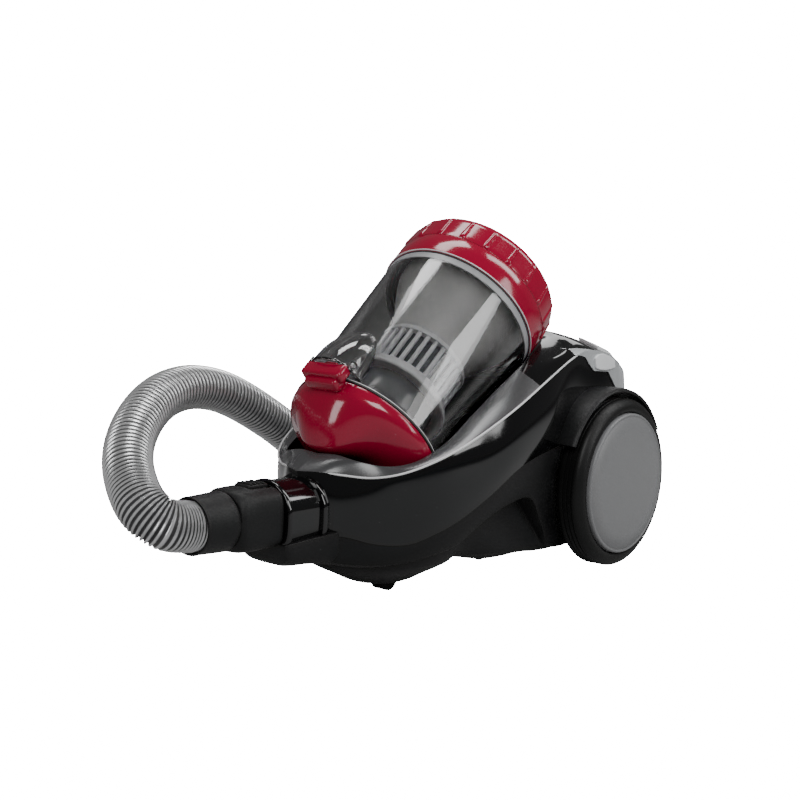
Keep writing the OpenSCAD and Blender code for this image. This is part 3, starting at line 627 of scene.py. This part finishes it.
PARTING = [
    (-180, 0, 76), (-172, 20, 75), (-158, 36, 73), (-140, 54, 66), (-119, 70, 64), (-100, 82, 70),
    (-75, 92, 80), (-40, 100, 97), (0, 104, 116), (50, 101, 123), (95, 93, 122), (140, 93, 122),
    (178, 91, 122), (200, 86, 121), (213, 70, 120), (217, 0, 120),
]
CREASE = [
    (-178, 0, 128), (-170, 18, 128), (-157, 33, 125), (-143, 52, 123), (-127, 70, 126), (-105, 84, 133),
    (-78, 93, 142), (-40, 98, 155), (0, 101, 170), (50, 98, 187), (95, 92, 199), (130, 87, 205),
    (160, 86, 200), (190, 84, 190), (212, 76, 168), (218, 0, 163),
]
COAMING = [
    (-153, 0, 139), (-150, 20, 139.5), (-146, 38, 136), (-132, 55, 131.5), (-116, 66.5, 132),
    (-97, 73.5, 137), (-68, 75, 148), (-38, 75, 163), (0, 75, 181), (48, 73, 201), (86, 62, 210),
    (114, 46, 215),
    (131, 26, 217), (139, 12, 217), (141, 5, 217), (141, 0, 217),
]
RIDGE = [(100, 80, 205), (125, 60, 214), (141, 36, 218), (148, 18, 219), (150, 6, 219), (150, 0, 219)]
KEEL_LIFT = [-222, -220, -217, -212, -203, -169, -140, -100, -60, -20, 20, 42, 55, 62, 65.5, 66.5]
SIDE_BULGE = [2, 2, 2.5, 3, 3.5, 4, 4.5, 5, 5, 4.5, 3, 2, 2, 2, 2, 2]
ROW_STEPS = 7
FACES_PER_ROW = 30
SHEEN_COLUMNS = (8, 16)
SHEEN_END = 8.6
CLEAR = 1.5
BOWL_R, BOWL_DEPTH, BOWL_Z = 75.5, 54.5, -170.0


def clear_radius(z):
    """Radius of the space round the cup at a height along its axis."""
    return np.interp(z, [BOWL_Z, 0, 400], [74 + CLEAR, 78 + CLEAR, 78 + CLEAR])


def bowl_z(r):
    turn = np.arccos(np.clip(np.asarray(r, float) / BOWL_R, 0, 1))
    return BOWL_Z - BOWL_DEPTH * np.sin(turn) ** 0.85


def onto_clear(p):
    """Pushes points on the cup's axes out to the surface of the space round the cup."""
    out = np.array(p, float)
    for q in out.reshape(-1, 3):
        r = math.hypot(q[0], q[1])
        if q[2] >= BOWL_Z:
            k = clear_radius(q[2]) / max(r, 1e-6)
            q[0], q[1] = q[0] * k, q[1] * k
            continue
        low, high = 0.0, 3.0
        for _ in range(40):
            k = (low + high) / 2
            inside = r * k < BOWL_R and BOWL_Z + (q[2] - BOWL_Z) * k > bowl_z(r * k)
            low, high = (k, high) if inside else (low, k)
        q[0], q[1], q[2] = q[0] * low, q[1] * low, BOWL_Z + (q[2] - BOWL_Z) * low
    return out


def keel_points():
    """Where each row of the trough meets the lowest line under the cup."""
    out = []
    for k, z in enumerate(KEEL_LIFT):
        if z < BOWL_Z:
            r = [5, 15, 25, 38, 52][k]
            out.append((r, 0, float(bowl_z(r))))
        else:
            out.append((float(clear_radius(z)), 0, z))
    return np.array(out)


def between(a, b, shares, bulge=0.0, way=None):
    t = np.asarray(shares, float)[:, None]
    pts = a + (b - a) * t
    if way is not None:
        pts = pts + 4 * t * (1 - t) * bulge * np.asarray(way, float)
    return pts


def shell_rows():
    parting, crease, coaming = (np.array(x, float) for x in (PARTING, CREASE, COAMING))
    keel = keel_points()
    rows = []
    for k in range(len(PARTING)):
        out = crease[k] - np.array([40.0, 0, crease[k][2]])
        out[2] = 0
        out /= np.linalg.norm(out)
        side = between(parting[k], crease[k], np.linspace(0, 1, 9), SIDE_BULGE[k], out)
        local = off_cup(coaming[k])
        r = math.hypot(local[0], local[1])
        if local[2] > BOWL_Z and r < clear_radius(local[2]) + 0.5:
            grow = (clear_radius(local[2]) + 0.5) / r
            local[0], local[1] = local[0] * grow, local[1] * grow
        edge = on_cup(local)
        if k < 10:
            top = between(crease[k], edge, np.linspace(0, 1, 9)[1:], 1.2, (0, 0, 1))
        else:
            peak = np.array(RIDGE[k - 10], float)
            lower = between(crease[k], peak, np.linspace(0, 1, 6)[1:], 3, (0, 0, 1))
            top = np.concatenate([lower, between(peak, edge, np.linspace(0, 1, 4)[1:])])
        bowl = onto_clear(between(local, keel[k], np.linspace(0, 1, 15)[1:]))
        rows.append(np.concatenate([side, top, on_cup(bowl)]))
    return np.array(rows)


def refine_rows(rows, steps):
    cols = [smooth(rows[:, j], steps) for j in range(rows.shape[1])]
    return np.stack(cols, axis=1)


def mirrored(grid):
    """The right half followed by its mirror image, meeting at the nose and the rear."""
    left = grid.copy()
    left[..., 1] *= -1
    return grid, left


def make_shell():
    grid = refine_rows(shell_rows(), ROW_STEPS)
    grid[0, :, 1] = 0
    grid[-1, :, 1] = 0
    grid[:, -1, 1] = 0
    s = Shape()
    right, left = mirrored(grid)
    s.grid(right)
    s.grid(left, flip=True)
    return s


# ---------- chassis ----------

BAND_EDGE = [
    (-176, 0, 52), (-166, 22, 51), (-152, 36, 48), (-134, 52, 46), (-114, 66, 47), (-96, 77, 51),
    (-70, 86, 57), (-42, 94, 73), (-10, 98, 83), (24, 98, 82), (46, 95, 54), (70, 92, 28),
    (150, 89, 26), (194, 83, 32), (209, 58, 40), (213, 0, 42),
]
TUB_TOP = [
    (-170, 0, 48), (-160, 18, 47), (-147, 30, 44), (-129, 45, 42), (-110, 58, 43), (-91, 68, 46),
    (-64, 76, 51), (-38, 80, 69), (-8, 80, 79), (24, 80, 78), (46, 84, 50), (72, 89, 25),
    (150, 86, 24), (190, 80, 29), (205, 56, 36), (209, 0, 38),
]
TUB_SIDE = [
    (-150, 0, 45), (-140, 16, 44), (-128, 26, 42), (-112, 38, 40), (-92, 48, 40), (-70, 56, 40),
    (-44, 66, 38), (-20, 76, 36), (0, 82, 34), (26, 85, 30), (50, 86, 26), (80, 86, 23.5),
    (140, 84, 23.5), (180, 78, 26), (195, 54, 29), (198, 0, 30),
]
KEEL_SIDE = [
    (-140, 0, 45), (-130, 10, 44), (-116, 16, 42), (-98, 24, 40), (-78, 30, 39), (-54, 38, 37),
    (-28, 52, 31), (-6, 62, 26), (14, 66, 24), (36, 68, 23), (60, 68, 23), (90, 68, 23),
    (140, 66, 24), (170, 60, 25), (182, 44, 26), (186, 0, 26),
]
KEEL_X = [-136, -124, -108, -90, -68, -44, -18, 2, 20, 40, 64, 92, 130, 155, 170, 180]
KEEL_Z = [45, 44, 42, 40, 38, 35, 29, 25, 23.5, 23, 23, 23, 24, 25, 26, 26]
TURRET = [
    (76, 50), (75, 46), (72, 40), (66, 34.5), (58, 30), (50, 26), (42, 21.6), (36, 18.2), (30, 15.6),
    (24.6, 14.2), (23.6, 13.6), (22.4, 13.8), (22.0, 14.6), (22.0, 28), (6, 28.4), (6, 29),
]


def make_chassis():
    lines = [np.array(x, float) for x in (PARTING, BAND_EDGE, TUB_TOP, TUB_SIDE, KEEL_SIDE)]
    keel = np.array([(x, 0, z) for x, z in zip(KEEL_X, KEEL_Z)], float)
    rows = []
    for k in range(len(PARTING)):
        out = lines[0][k] - np.array([40.0, 0, lines[0][k][2]])
        out /= np.linalg.norm(out)
        parts = [between(lines[0][k] - out * 0.6, lines[1][k], np.linspace(0, 1, 7), 2.0, out)]
        for a, b in zip(lines[1:], lines[2:] + [keel]):
            parts.append(between(a[k], b[k], np.linspace(0, 1, 5)[1:]))
        rows.append(np.concatenate(parts))
    grid = refine_rows(np.array(rows), ROW_STEPS)
    grid[0, :, 1] = 0
    grid[-1, :, 1] = 0
    s = Shape()
    right, left = mirrored(grid)
    s.grid(right)
    s.grid(left, flip=True)
    lathe(s, TURRET, 96, lambda p: p + np.array([CASTER[0], 0, 0]))
    return s


WELL_X = (150, 212)
WELL_HALF = 46
WELL_ABOVE = 150


def open_well(obj):
    """Takes the top skin away over the handle's well."""
    bm = bmesh.new()
    bm.from_mesh(obj.data)
    cuts = [
        ((WELL_X[0], 0), (1, 0)), ((WELL_X[1], 0), (1, 0)),
        ((0, -WELL_HALF), (0, 1)), ((0, WELL_HALF), (0, 1)),
    ]
    for at, way in cuts:
        high = [f for f in bm.faces if f.calc_center_median().z > WELL_ABOVE * MM and f.normal.z > 0.2]
        geom = high + list({e for f in high for e in f.edges}) + list({v for f in high for v in f.verts})
        on_plane = (at[0] * MM, at[1] * MM, 0)
        bmesh.ops.bisect_plane(bm, geom=geom, plane_co=on_plane, plane_no=(*way, 0), dist=1e-6)
    gone = []
    for f in bm.faces:
        c = f.calc_center_median() / MM
        if WELL_X[0] < c.x < WELL_X[1] and abs(c.y) < WELL_HALF and c.z > WELL_ABOVE:
            gone.append(f)
    bmesh.ops.delete(bm, geom=gone, context="FACES")
    bm.to_mesh(obj.data)
    bm.free()


def height_on(tree, x, y, spare):
    hit = tree.ray_cast(Vector((x * MM, y * MM, 0.3)), Vector((0, 0, -1)))
    return hit[0].z / MM if hit[0] is not None else spare


def surface_patch(tree, stations, lift, thick, across=14, along=5):
    """A thin plate that follows the shell's top. Each station is x, the lower and the higher y."""
    x_at = np.linspace(0, len(stations) - 1, (len(stations) - 1) * along + 1)
    st = np.array(stations, float)
    k = np.arange(len(stations))
    top, under = [], []
    for t in x_at:
        x, y0, y1 = (np.interp(t, k, st[:, c]) for c in range(3))
        z_old = 160.0
        upper, lower = [], []
        for y in np.linspace(y0, y1, across):
            z_old = height_on(tree, x, y, z_old)
            upper.append((x, y, z_old + lift))
            lower.append((x, y, z_old + lift - thick))
        top.append(upper)
        under.append(lower)
    rings = [upper + lower[::-1] for upper, lower in zip(top, under)]
    s = Shape()
    base = s.grid(np.array(rings), wrap_cols=True)
    s.cap(base, 2 * across)
    s.cap(base + (len(rings) - 1) * 2 * across, 2 * across, flip=True)
    return s


def side_on(tree, x, z, side, spare):
    hit = tree.ray_cast(Vector((x * MM, side * 0.2, z * MM)), Vector((0, -side, 0)), 0.2)
    return abs(hit[0].y) / MM if hit[0] is not None else spare


def side_patch(tree, side, stations, lift, thick, across=10, along=5):
    """A thin plate that follows the shell's side wall. Each station is x, the lower and the higher z."""
    st = np.array(stations, float)
    k = np.arange(len(stations))
    rings = []
    for t in np.linspace(0, len(stations) - 1, (len(stations) - 1) * along + 1):
        x, z0, z1 = (np.interp(t, k, st[:, c]) for c in range(3))
        outer, inner = [], []
        out = 80.0
        for z in np.linspace(z0, z1, across):
            out = side_on(tree, x, z, side, out)
            outer.append((x, side * (out + lift), z))
            inner.append((x, side * (out + lift - thick), z))
        rings.append(outer + inner[::-1])
    s = Shape()
    base = s.grid(np.array(rings), wrap_cols=True)
    s.cap(base, 2 * across)
    s.cap(base + (len(rings) - 1) * 2 * across, 2 * across, flip=True)
    return s


TRIM_SIDE = [
    (106, 203, 208), (118, 201, 207.5), (126, 198.5, 206.5), (133, 191, 205.5), (141, 184, 204),
    (155, 182, 201.5), (169, 180, 197.5), (177, 170, 195), (185, 160, 191.5), (194, 155, 187),
    (203, 153, 178), (209, 152, 170),
]
PAD_SIDE = [(143, 186, 196), (150, 184, 199), (160, 182.5, 198.5), (172, 182, 195), (182, 183, 190.5)]


def make_rear(tree):
    for side, name, pedal in ((1, "right", "rewind_pedal"), (-1, "left", "power_pedal")):
        side_patch(tree, side, TRIM_SIDE, 1.2, 4).make(
            f"{name}_trim", "chassis", "handle_silver", SILVER, bevel=0.8, angle=30
        )
        side_patch(tree, side, PAD_SIDE, 3.0, 4).make(
            f"{name}_pedal_skirt", pedal, "handle_silver", LIGHT, bevel=1.2, angle=30
        )
        pad = [(160, 60, 82), (170, 55, 83), (198, 55, 80), (204, 57, 76)]
        sided = [(x, *sorted((side * a, side * b))) for x, a, b in pad]
        surface_patch(tree, sided, 3.2, 5).make(
            f"{name}_pedal_pad", pedal, "handle_silver", LIGHT, replaces=[pedal], bevel=1.0, angle=30
        )
    make_tray(tree)


def make_tray(tree):
    """The walls and floor of the well that the release handle sits in."""
    corners = [
        (WELL_X[0], -WELL_HALF), (WELL_X[1], -WELL_HALF), (WELL_X[1], WELL_HALF), (WELL_X[0], WELL_HALF),
    ]
    tray = Shape()
    wall = []
    for z_top, inset in ((0, 0), (0, 1.2), (-30, 2.0)):
        ring = []
        for x, y in corners:
            px = x + (inset if x == WELL_X[0] else -inset)
            py = y - math.copysign(inset, y)
            z = height_on(tree, x, y, 165.0)
            ring.append((px, py, z + z_top))
        wall.append(ring)
    base = tray.grid(np.array(wall), wrap_cols=True)
    tray.cap(base + 8, 4)
    tray.make("handle_tray", "chassis", "shell_black", CHASSIS)


shell_shape = make_shell()


def on_shoulder_sheen(face):
    """The band between the crease and the cup's trough, as far back as the lid, coloured a lighter grey as a
    painted reflection.
    """
    row, col = divmod(face, FACES_PER_ROW)
    along = row % (ROW_STEPS * (len(PARTING) - 1))
    return SHEEN_COLUMNS[0] <= col < SHEEN_COLUMNS[1] and along < ROW_STEPS * SHEEN_END


def make_crease_highlights():
    """A light bead along the crease on both sides, a painted highlight for the bright line along the crease's
    edge.
    """
    for side, name in ((1, "right"), (-1, "left")):
        points = np.array(CREASE[1:12], float) * (1, side, 1)
        path = smooth(points, 12)
        along = np.linspace(0, 1, len(path))
        radius = 0.95 * np.clip(np.minimum(along, 1 - along) * 12, 0.1, 1)
        line = Shape()
        base = line.grid(sweep_rings(path, radius, 10), wrap_cols=True)
        line.cap(base, 10)
        line.cap(base + (len(path) - 1) * 10, 10, flip=True)
        line.make(f"{name}_crease", "chassis", "inner_light", CREASE_HIGHLIGHT)


# The shoulder faces take the lighter grey as a painted reflection.
shell = shell_shape.make(
    "shell", "chassis", "shell_black", SHELL, replaces=["upper_shell", "cradle"], bevel=1.2, angle=24,
    second=(SHOULDER_SHEEN, on_shoulder_sheen),
)
make_crease_highlights()
make_rear(BVHTree.FromObject(shell, bpy.context.evaluated_depsgraph_get()))
open_well(shell)
chassis_shape = make_chassis()
chassis = chassis_shape.make(
    "underbody", "chassis", "chassis_black", CHASSIS, replaces=["lower_chassis"], bevel=1.5, angle=24
)

EXHAUST_OPENING = ((196.5, -57.0, 41.5), (225.0, 13.0, 112.0))


def open_exhaust(body):
    """The opening in the rear wall that the exhaust cover closes, down to the filter behind it."""
    low, high = (np.array(p) * MM for p in EXHAUST_OPENING)
    bm = bmesh.new()
    bmesh.ops.create_cube(bm, size=1.0)
    bmesh.ops.scale(bm, vec=high - low, verts=bm.verts)
    bmesh.ops.translate(bm, vec=(low + high) / 2, verts=bm.verts)
    mesh = bpy.data.meshes.new("exhaust_cut")
    bm.to_mesh(mesh)
    bm.free()
    cutter = bpy.data.objects.new("exhaust_cut", mesh)
    bpy.context.scene.collection.objects.link(cutter)
    cut = body.modifiers.new("exhaust", "BOOLEAN")
    cut.operation = "DIFFERENCE"
    cut.object = cutter
    cut.solver = "EXACT"
    bpy.context.view_layer.objects.active = body
    apply_modifiers(body)
    bpy.data.objects.remove(cutter, do_unlink=True)


open_exhaust(chassis)

# ---------- wheels ----------


def make_wheels():
    for side, name in ((1, "right"), (-1, "left")):
        tyre = Shape()
        profile = [(64, 99.6), (67, 99)]
        profile += arc(74, 105.5, 6.2, -80, 0, 8)
        for k in range(3):
            z = 107.4 + 4.4 * k
            profile += [(80.0, z), (79.0, z + 0.5), (79.0, z + 1.3), (80.0, z + 1.8)]
        profile += arc(73.6, 118.4, 6.4, 0, 50, 8)
        profile += [(76.2, 124.6), (74.0, 126.2), (71.2, 127.0), (69.4, 127.0)]
        profile += [(68.0, 126.6), (67.2, 125.6), (67.0, 121)]
        lathe(tyre, profile, 160, wheel_place(side))
        tyre.make(f"{name}_tyre_rubber", f"{name}_wheel", "tyre", TYRE, replaces=[f"{name}_tyre"])
        cap = Shape()
        face = [(66.6, 121.2), (66.6, 128.2), (66.0, 129.2), (65.0, 129.8), (64.2, 129.6), (63.8, 129.2)]
        face += [(63.2, 129.2), (62.6, 129.8), (50, 131.0), (30, 131.8), (10, 132.0), (0.05, 132.0)]
        lathe(cap, face, 160, wheel_place(side))
        cap.make(f"{name}_cap", f"{name}_wheel", "hub_grey", HUB, replaces=[f"{name}_hub_cap"])


FENDER_RING = [
    (85, 86), (89, 86), (89.6, 100), (89.4, 114), (88.6, 117.4), (87, 118.4), (85.4, 117.6), (85, 115),
]
FENDER_ARC = (27, 149)
FENDER_ROWS = 60


def make_fenders():
    for side, name in ((1, "right"), (-1, "left")):
        rows = []
        for a in np.radians(np.linspace(*FENDER_ARC, FENDER_ROWS)):
            ring = []
            for r, y in FENDER_RING:
                ring.append((WHEEL[0] + r * math.cos(a), side * y, WHEEL[2] + r * math.sin(a)))
            rows.append(ring)
        s = Shape()
        base = s.grid(np.array(rows), wrap_cols=True)
        s.cap(base, len(FENDER_RING))
        s.cap(base + (FENDER_ROWS - 1) * len(FENDER_RING), len(FENDER_RING), flip=True)
        s.make(f"{name}_fender", "chassis", "shell_black", CHASSIS, replaces=["fenders"] if side > 0 else [])


def make_screws():
    """Sunk screw heads under the tub."""
    profile = [(0.05, 23.8), (1.6, 23.8), (2.2, 23.6), (3.4, 24.0), (3.6, 25.0), (3.6, 27), (0.05, 27)]
    for k, (x, y) in enumerate(((0, 58), (0, -58), (150, 58), (150, -58))):
        s = Shape()
        lathe(s, profile, 24, lambda p: p + np.array([x, y, 0]))
        s.make(f"screw_{k + 1}", "chassis", "steel", SEAL, replaces=["screws"] if k == 0 else [])


make_wheels()
make_fenders()
make_screws()

# ---------- dust cup ----------


def make_cup():
    s = Shape()
    profile = [
        (69.5, -164), (72, -164), (72.2, -162.5), (76, -10), (76, -1.2), (75.4, -0.6), (70, -0.6), (70, 13.2),
        (69.4, 13.5), (67.6, 13.5), (67.5, -0.6), (73.4, -4), (73.5, -10), (69.6, -162.5), (69.5, -164),
    ]
    lathe(s, profile, 128, on_cup)
    s.make("cup", "dust_cup", "cup_clear", CLEAR_MATERIAL, replaces=["dust_cup"])
    band = Shape()
    lathe(band, [(73.2, -8), (76.25, -8), (76.3, -1.6), (73.2, -1.6), (73.2, -8)], 128, on_cup)
    band.make("cup_band", "dust_cup", "inner_light", FROSTED)
    line = Shape()
    lathe(line, [(73, -1.5), (76.7, -1.5), (76.9, -0.9), (76.7, -0.3), (73, -0.3), (73, -1.5)], 128, on_cup)
    line.make("cup_gasket", "dust_cup", "seal", SEAL)
    rim = Shape()
    around = [(70, -164.2), (72.8, -164.2), (73, -163.4), (72.8, -162.6), (70, -162.6), (70, -164.2)]
    lathe(rim, around, 128, on_cup)
    rim.make("cup_rim", "dust_cup", "seal", SEAL)
    edge = Shape()
    around = [(71, -162.6), (72.7, -162.6), (72.9, -162.2), (72.7, -161.8), (71, -161.8), (71, -162.6)]
    lathe(edge, around, 128, on_cup)
    edge.make("cup_edge", "dust_cup", "inner_light", LIGHT)


def make_latch_bay():
    """The clear bulge over the latch, and the lugs that hold the latch's pin."""
    rows = []
    top, foot, half, rise = -108.0, -161.0, 26.0, 19.0
    for v in np.linspace(0, 1, 22):
        z = top + (foot - top) * v
        wide = half * math.sqrt(max(1 - (1 - v) ** 2.6, 1e-4))
        tall = rise * (1 - (1 - v) ** 2.4) + 0.3
        ring = []
        for u in np.linspace(-1, 1, 23):
            y = wide * u
            base = math.sqrt(max((72 + 4 * (z + 164) / 164) ** 2 - y * y, 0)) - 0.4
            ring.append((-(base + tall * (1 - abs(u) ** 3.4) ** 0.6), y, z))
        rows.append(ring)
    s = Shape()
    s.grid(on_cup(np.array(rows)))
    obj = s.make("latch_bay", "dust_cup", "cup_clear", CLEAR_MATERIAL)
    thick = obj.modifiers.new("wall", "SOLIDIFY")
    thick.thickness = 1.2 * MM
    thick.offset = 0
    apply_modifiers(obj)
    lugs = Shape()
    for y in (-24.4, 22.2):
        rounded_box(lugs, (-84, y, -160), (-70, y + 2.2, -152), 1.0, on_cup)
    for y in (-30, 24):
        rounded_box(lugs, (66.5, y, -164), (80.0, y + 6, -156.8), 1.4, on_cup)
    lugs.make("cup_lugs", "dust_cup", "cup_clear", CLEAR_MATERIAL)


def make_latch():
    s = Shape()
    rounded_box(s, (-87, -22, -174), (-76, 22, -160), 2.6, on_cup)
    rounded_box(s, (-82, -18, -179), (-70, 18, -165), 3.0, on_cup)
    rounded_box(s, (-83, -8, -166), (-78, 8, -155), 2.0, on_cup)
    s.make("latch", "door_latch", "lid_red", RED, replaces=["door_latch"])


NOSE_DROP = 21.0
NOSE_HALF = 36.0
DOME_DEPTH = 27.0


def nose_push(x, y):
    """How far the door's nose stands out of its dome, along the cup's axis."""
    rear = np.clip((2 - x) / 42, 0, 1)
    front = np.clip((72.2 + x) / 34, 0, 1) ** 0.7
    return NOSE_DROP * rear * rear * (3 - 2 * rear) * front * np.exp(-((np.abs(y) / NOSE_HALF) ** 3))


def make_door():
    profile = [(66, -164.6), (71.8, -164.6), (72.2, -165.2), (72.2, -168.2)]
    for t in np.radians(np.linspace(0, 90, 60)[1:]):
        profile.append((72.0 * math.cos(t) + 0.03, -169 - DOME_DEPTH * math.sin(t)))
    rows = []
    for r, z in profile:
        a = np.radians(np.linspace(0, 360, 180, endpoint=False))
        x, y = r * np.cos(a), r * np.sin(a)
        push = nose_push(x, y) if z < -168.5 else 0 * x
        rows.append(np.stack([x, y, z - push], axis=-1))
    s = Shape()
    s.grid(on_cup(np.array(rows)), wrap_cols=True)
    rounded_box(s, (66, -23.4, -169), (79, 23.4, -164.6), 1.2, on_cup)
    rounded_box(s, (73.8, -23.4, -163.9), (80.4, 23.4, -157.3), 3.2, on_cup)
    rounded_box(s, (75.4, -23.4, -165), (79.4, 23.4, -160), 1.0, on_cup)
    s.make("door", "bottom_door", "lid_red", RED, replaces=["bottom_door"])


def make_separator():
    cone = Shape()
    profile = [(36, -64), (36.4, -60), (44, -42), (55, -20), (62, -6), (64.5, 2), (64.5, 12)]
    lathe(cone, smooth_profile(profile), 120, on_cup)
    cone.make("cone", "separator", "inner_light", CONE, replaces=["cyclone_cone"])
    make_grille()
    core = Shape()
    lathe(core, [(0.05, -104), (37.2, -104), (37.2, -62), (0.05, -62)], 96, on_cup)
    core.make("grille_core", "separator", "inner_grey", SMOKED)
    make_skirt()


GRILLE_BARS = 30


def turned_on_cup(degrees):
    """Turns points about the cup's axis, then lays them on it."""
    a = math.radians(degrees)
    c, t = math.cos(a), math.sin(a)

    def place(p):
        return on_cup(
            np.stack([p[..., 0] * c - p[..., 1] * t, p[..., 0] * t + p[..., 1] * c, p[..., 2]], axis=-1)
        )

    return place


def make_grille():
    """The slatted shroud round the middle of the separator."""
    grille = Shape()
    for k in range(GRILLE_BARS):
        place = turned_on_cup(360 // GRILLE_BARS * k)
        rounded_box(grille, (38.4, -2.0, -104), (42.4, 2.0, -64), 1.1, place, steps=3)
    around = [(38, -105), (43.4, -105), (43.6, -103.6), (43.4, -102), (38, -102), (38, -105)]
    lathe(grille, around, 96, on_cup)
    lathe(grille, [(36, -66), (43.4, -66), (43.6, -64.6), (43.4, -62), (36, -62), (36, -66)], 96, on_cup)
    grille.make("grille", "separator", "inner_light", LIGHT, replaces=["shroud_grille"])


def make_skirt():
    """The light ring under the shroud and the smoked tube that hangs from it."""
    skirt = Shape()
    profile = [
        (36.5, -113), (50.6, -115.6), (51.6, -114.6), (51.2, -112.8), (47.5, -105.6), (45.8, -104.4),
        (36.5, -104),
    ]
    lathe(skirt, profile, 120, on_cup)
    skirt.make("skirt", "separator", "inner_light", LIGHT, replaces=["shroud_skirt"])
    tube = Shape()
    profile = [
        (38.6, -112), (39, -138.6), (40.2, -139), (40.4, -141), (39.4, -142), (36.6, -142), (36, -141),
        (35.6, -112),
    ]
    lathe(tube, profile, 96, on_cup)
    tube.make("skirt_tube", "separator", "inner_grey", SMOKED_CLEAR)


def smooth_profile(points):
    pts = smooth(np.array([(r, z, 0) for r, z in points], float), 5)
    return [(p[0], p[1]) for p in pts]


# ---------- lid ----------

LID_RIBS = 20


def lid_ripple(r, z, a):
    """Thin wedge-shaped ribs, widest at the seam and dying away upwards."""
    base = np.full_like(a, r)
    if not 23.8 <= z <= 52.5:
        return base
    share = (z - 23.8) / 28.7
    half = math.radians(2.1 - 1.2 * share)
    off = np.abs((a + math.pi / LID_RIBS) % (2 * math.pi / LID_RIBS) - math.pi / LID_RIBS)
    lift = (1.1 - 0.2 * share) * (1 - max(share - 0.8, 0) / 0.2)
    return base + lift * np.clip((half - off) / math.radians(0.8), 0, 1)


def make_lid():
    s = Shape()
    profile = [(70.6, -0.1), (77.2, -0.1), (77.9, 0.5), (78.0, 1.4), (78, 10), (78, 21.8)]
    profile += [(77.8, 22.1), (77.5, 22.2), (77.4, 22.5), (77.5, 22.8), (77.9, 23.0), (77.9, 26)]
    profile += [(77.9 - 1.5 * t, 26 + 19 * t) for t in np.linspace(0.1, 1, 10)]
    profile += [(75.6, 47.5), (74.2, 50), (72, 52.2), (69, 54.2), (65, 55.5), (60, 56), (30, 56), (0.05, 56)]
    lathe(s, profile, 720, on_cup, lid_ripple)
    s.make("lid", "lid", "lid_red", RED, replaces=["lid_collar"])
    line = Shape()
    lathe(line, [(74, -0.05), (78.1, -0.05), (78.3, 0.3), (78.1, 0.8), (74, 0.8), (74, -0.05)], 160, on_cup)
    line.make("lid_line", "lid", "inner_light", LIGHT)


make_cup()
make_latch_bay()
make_latch()
make_door()
make_separator()
make_lid()
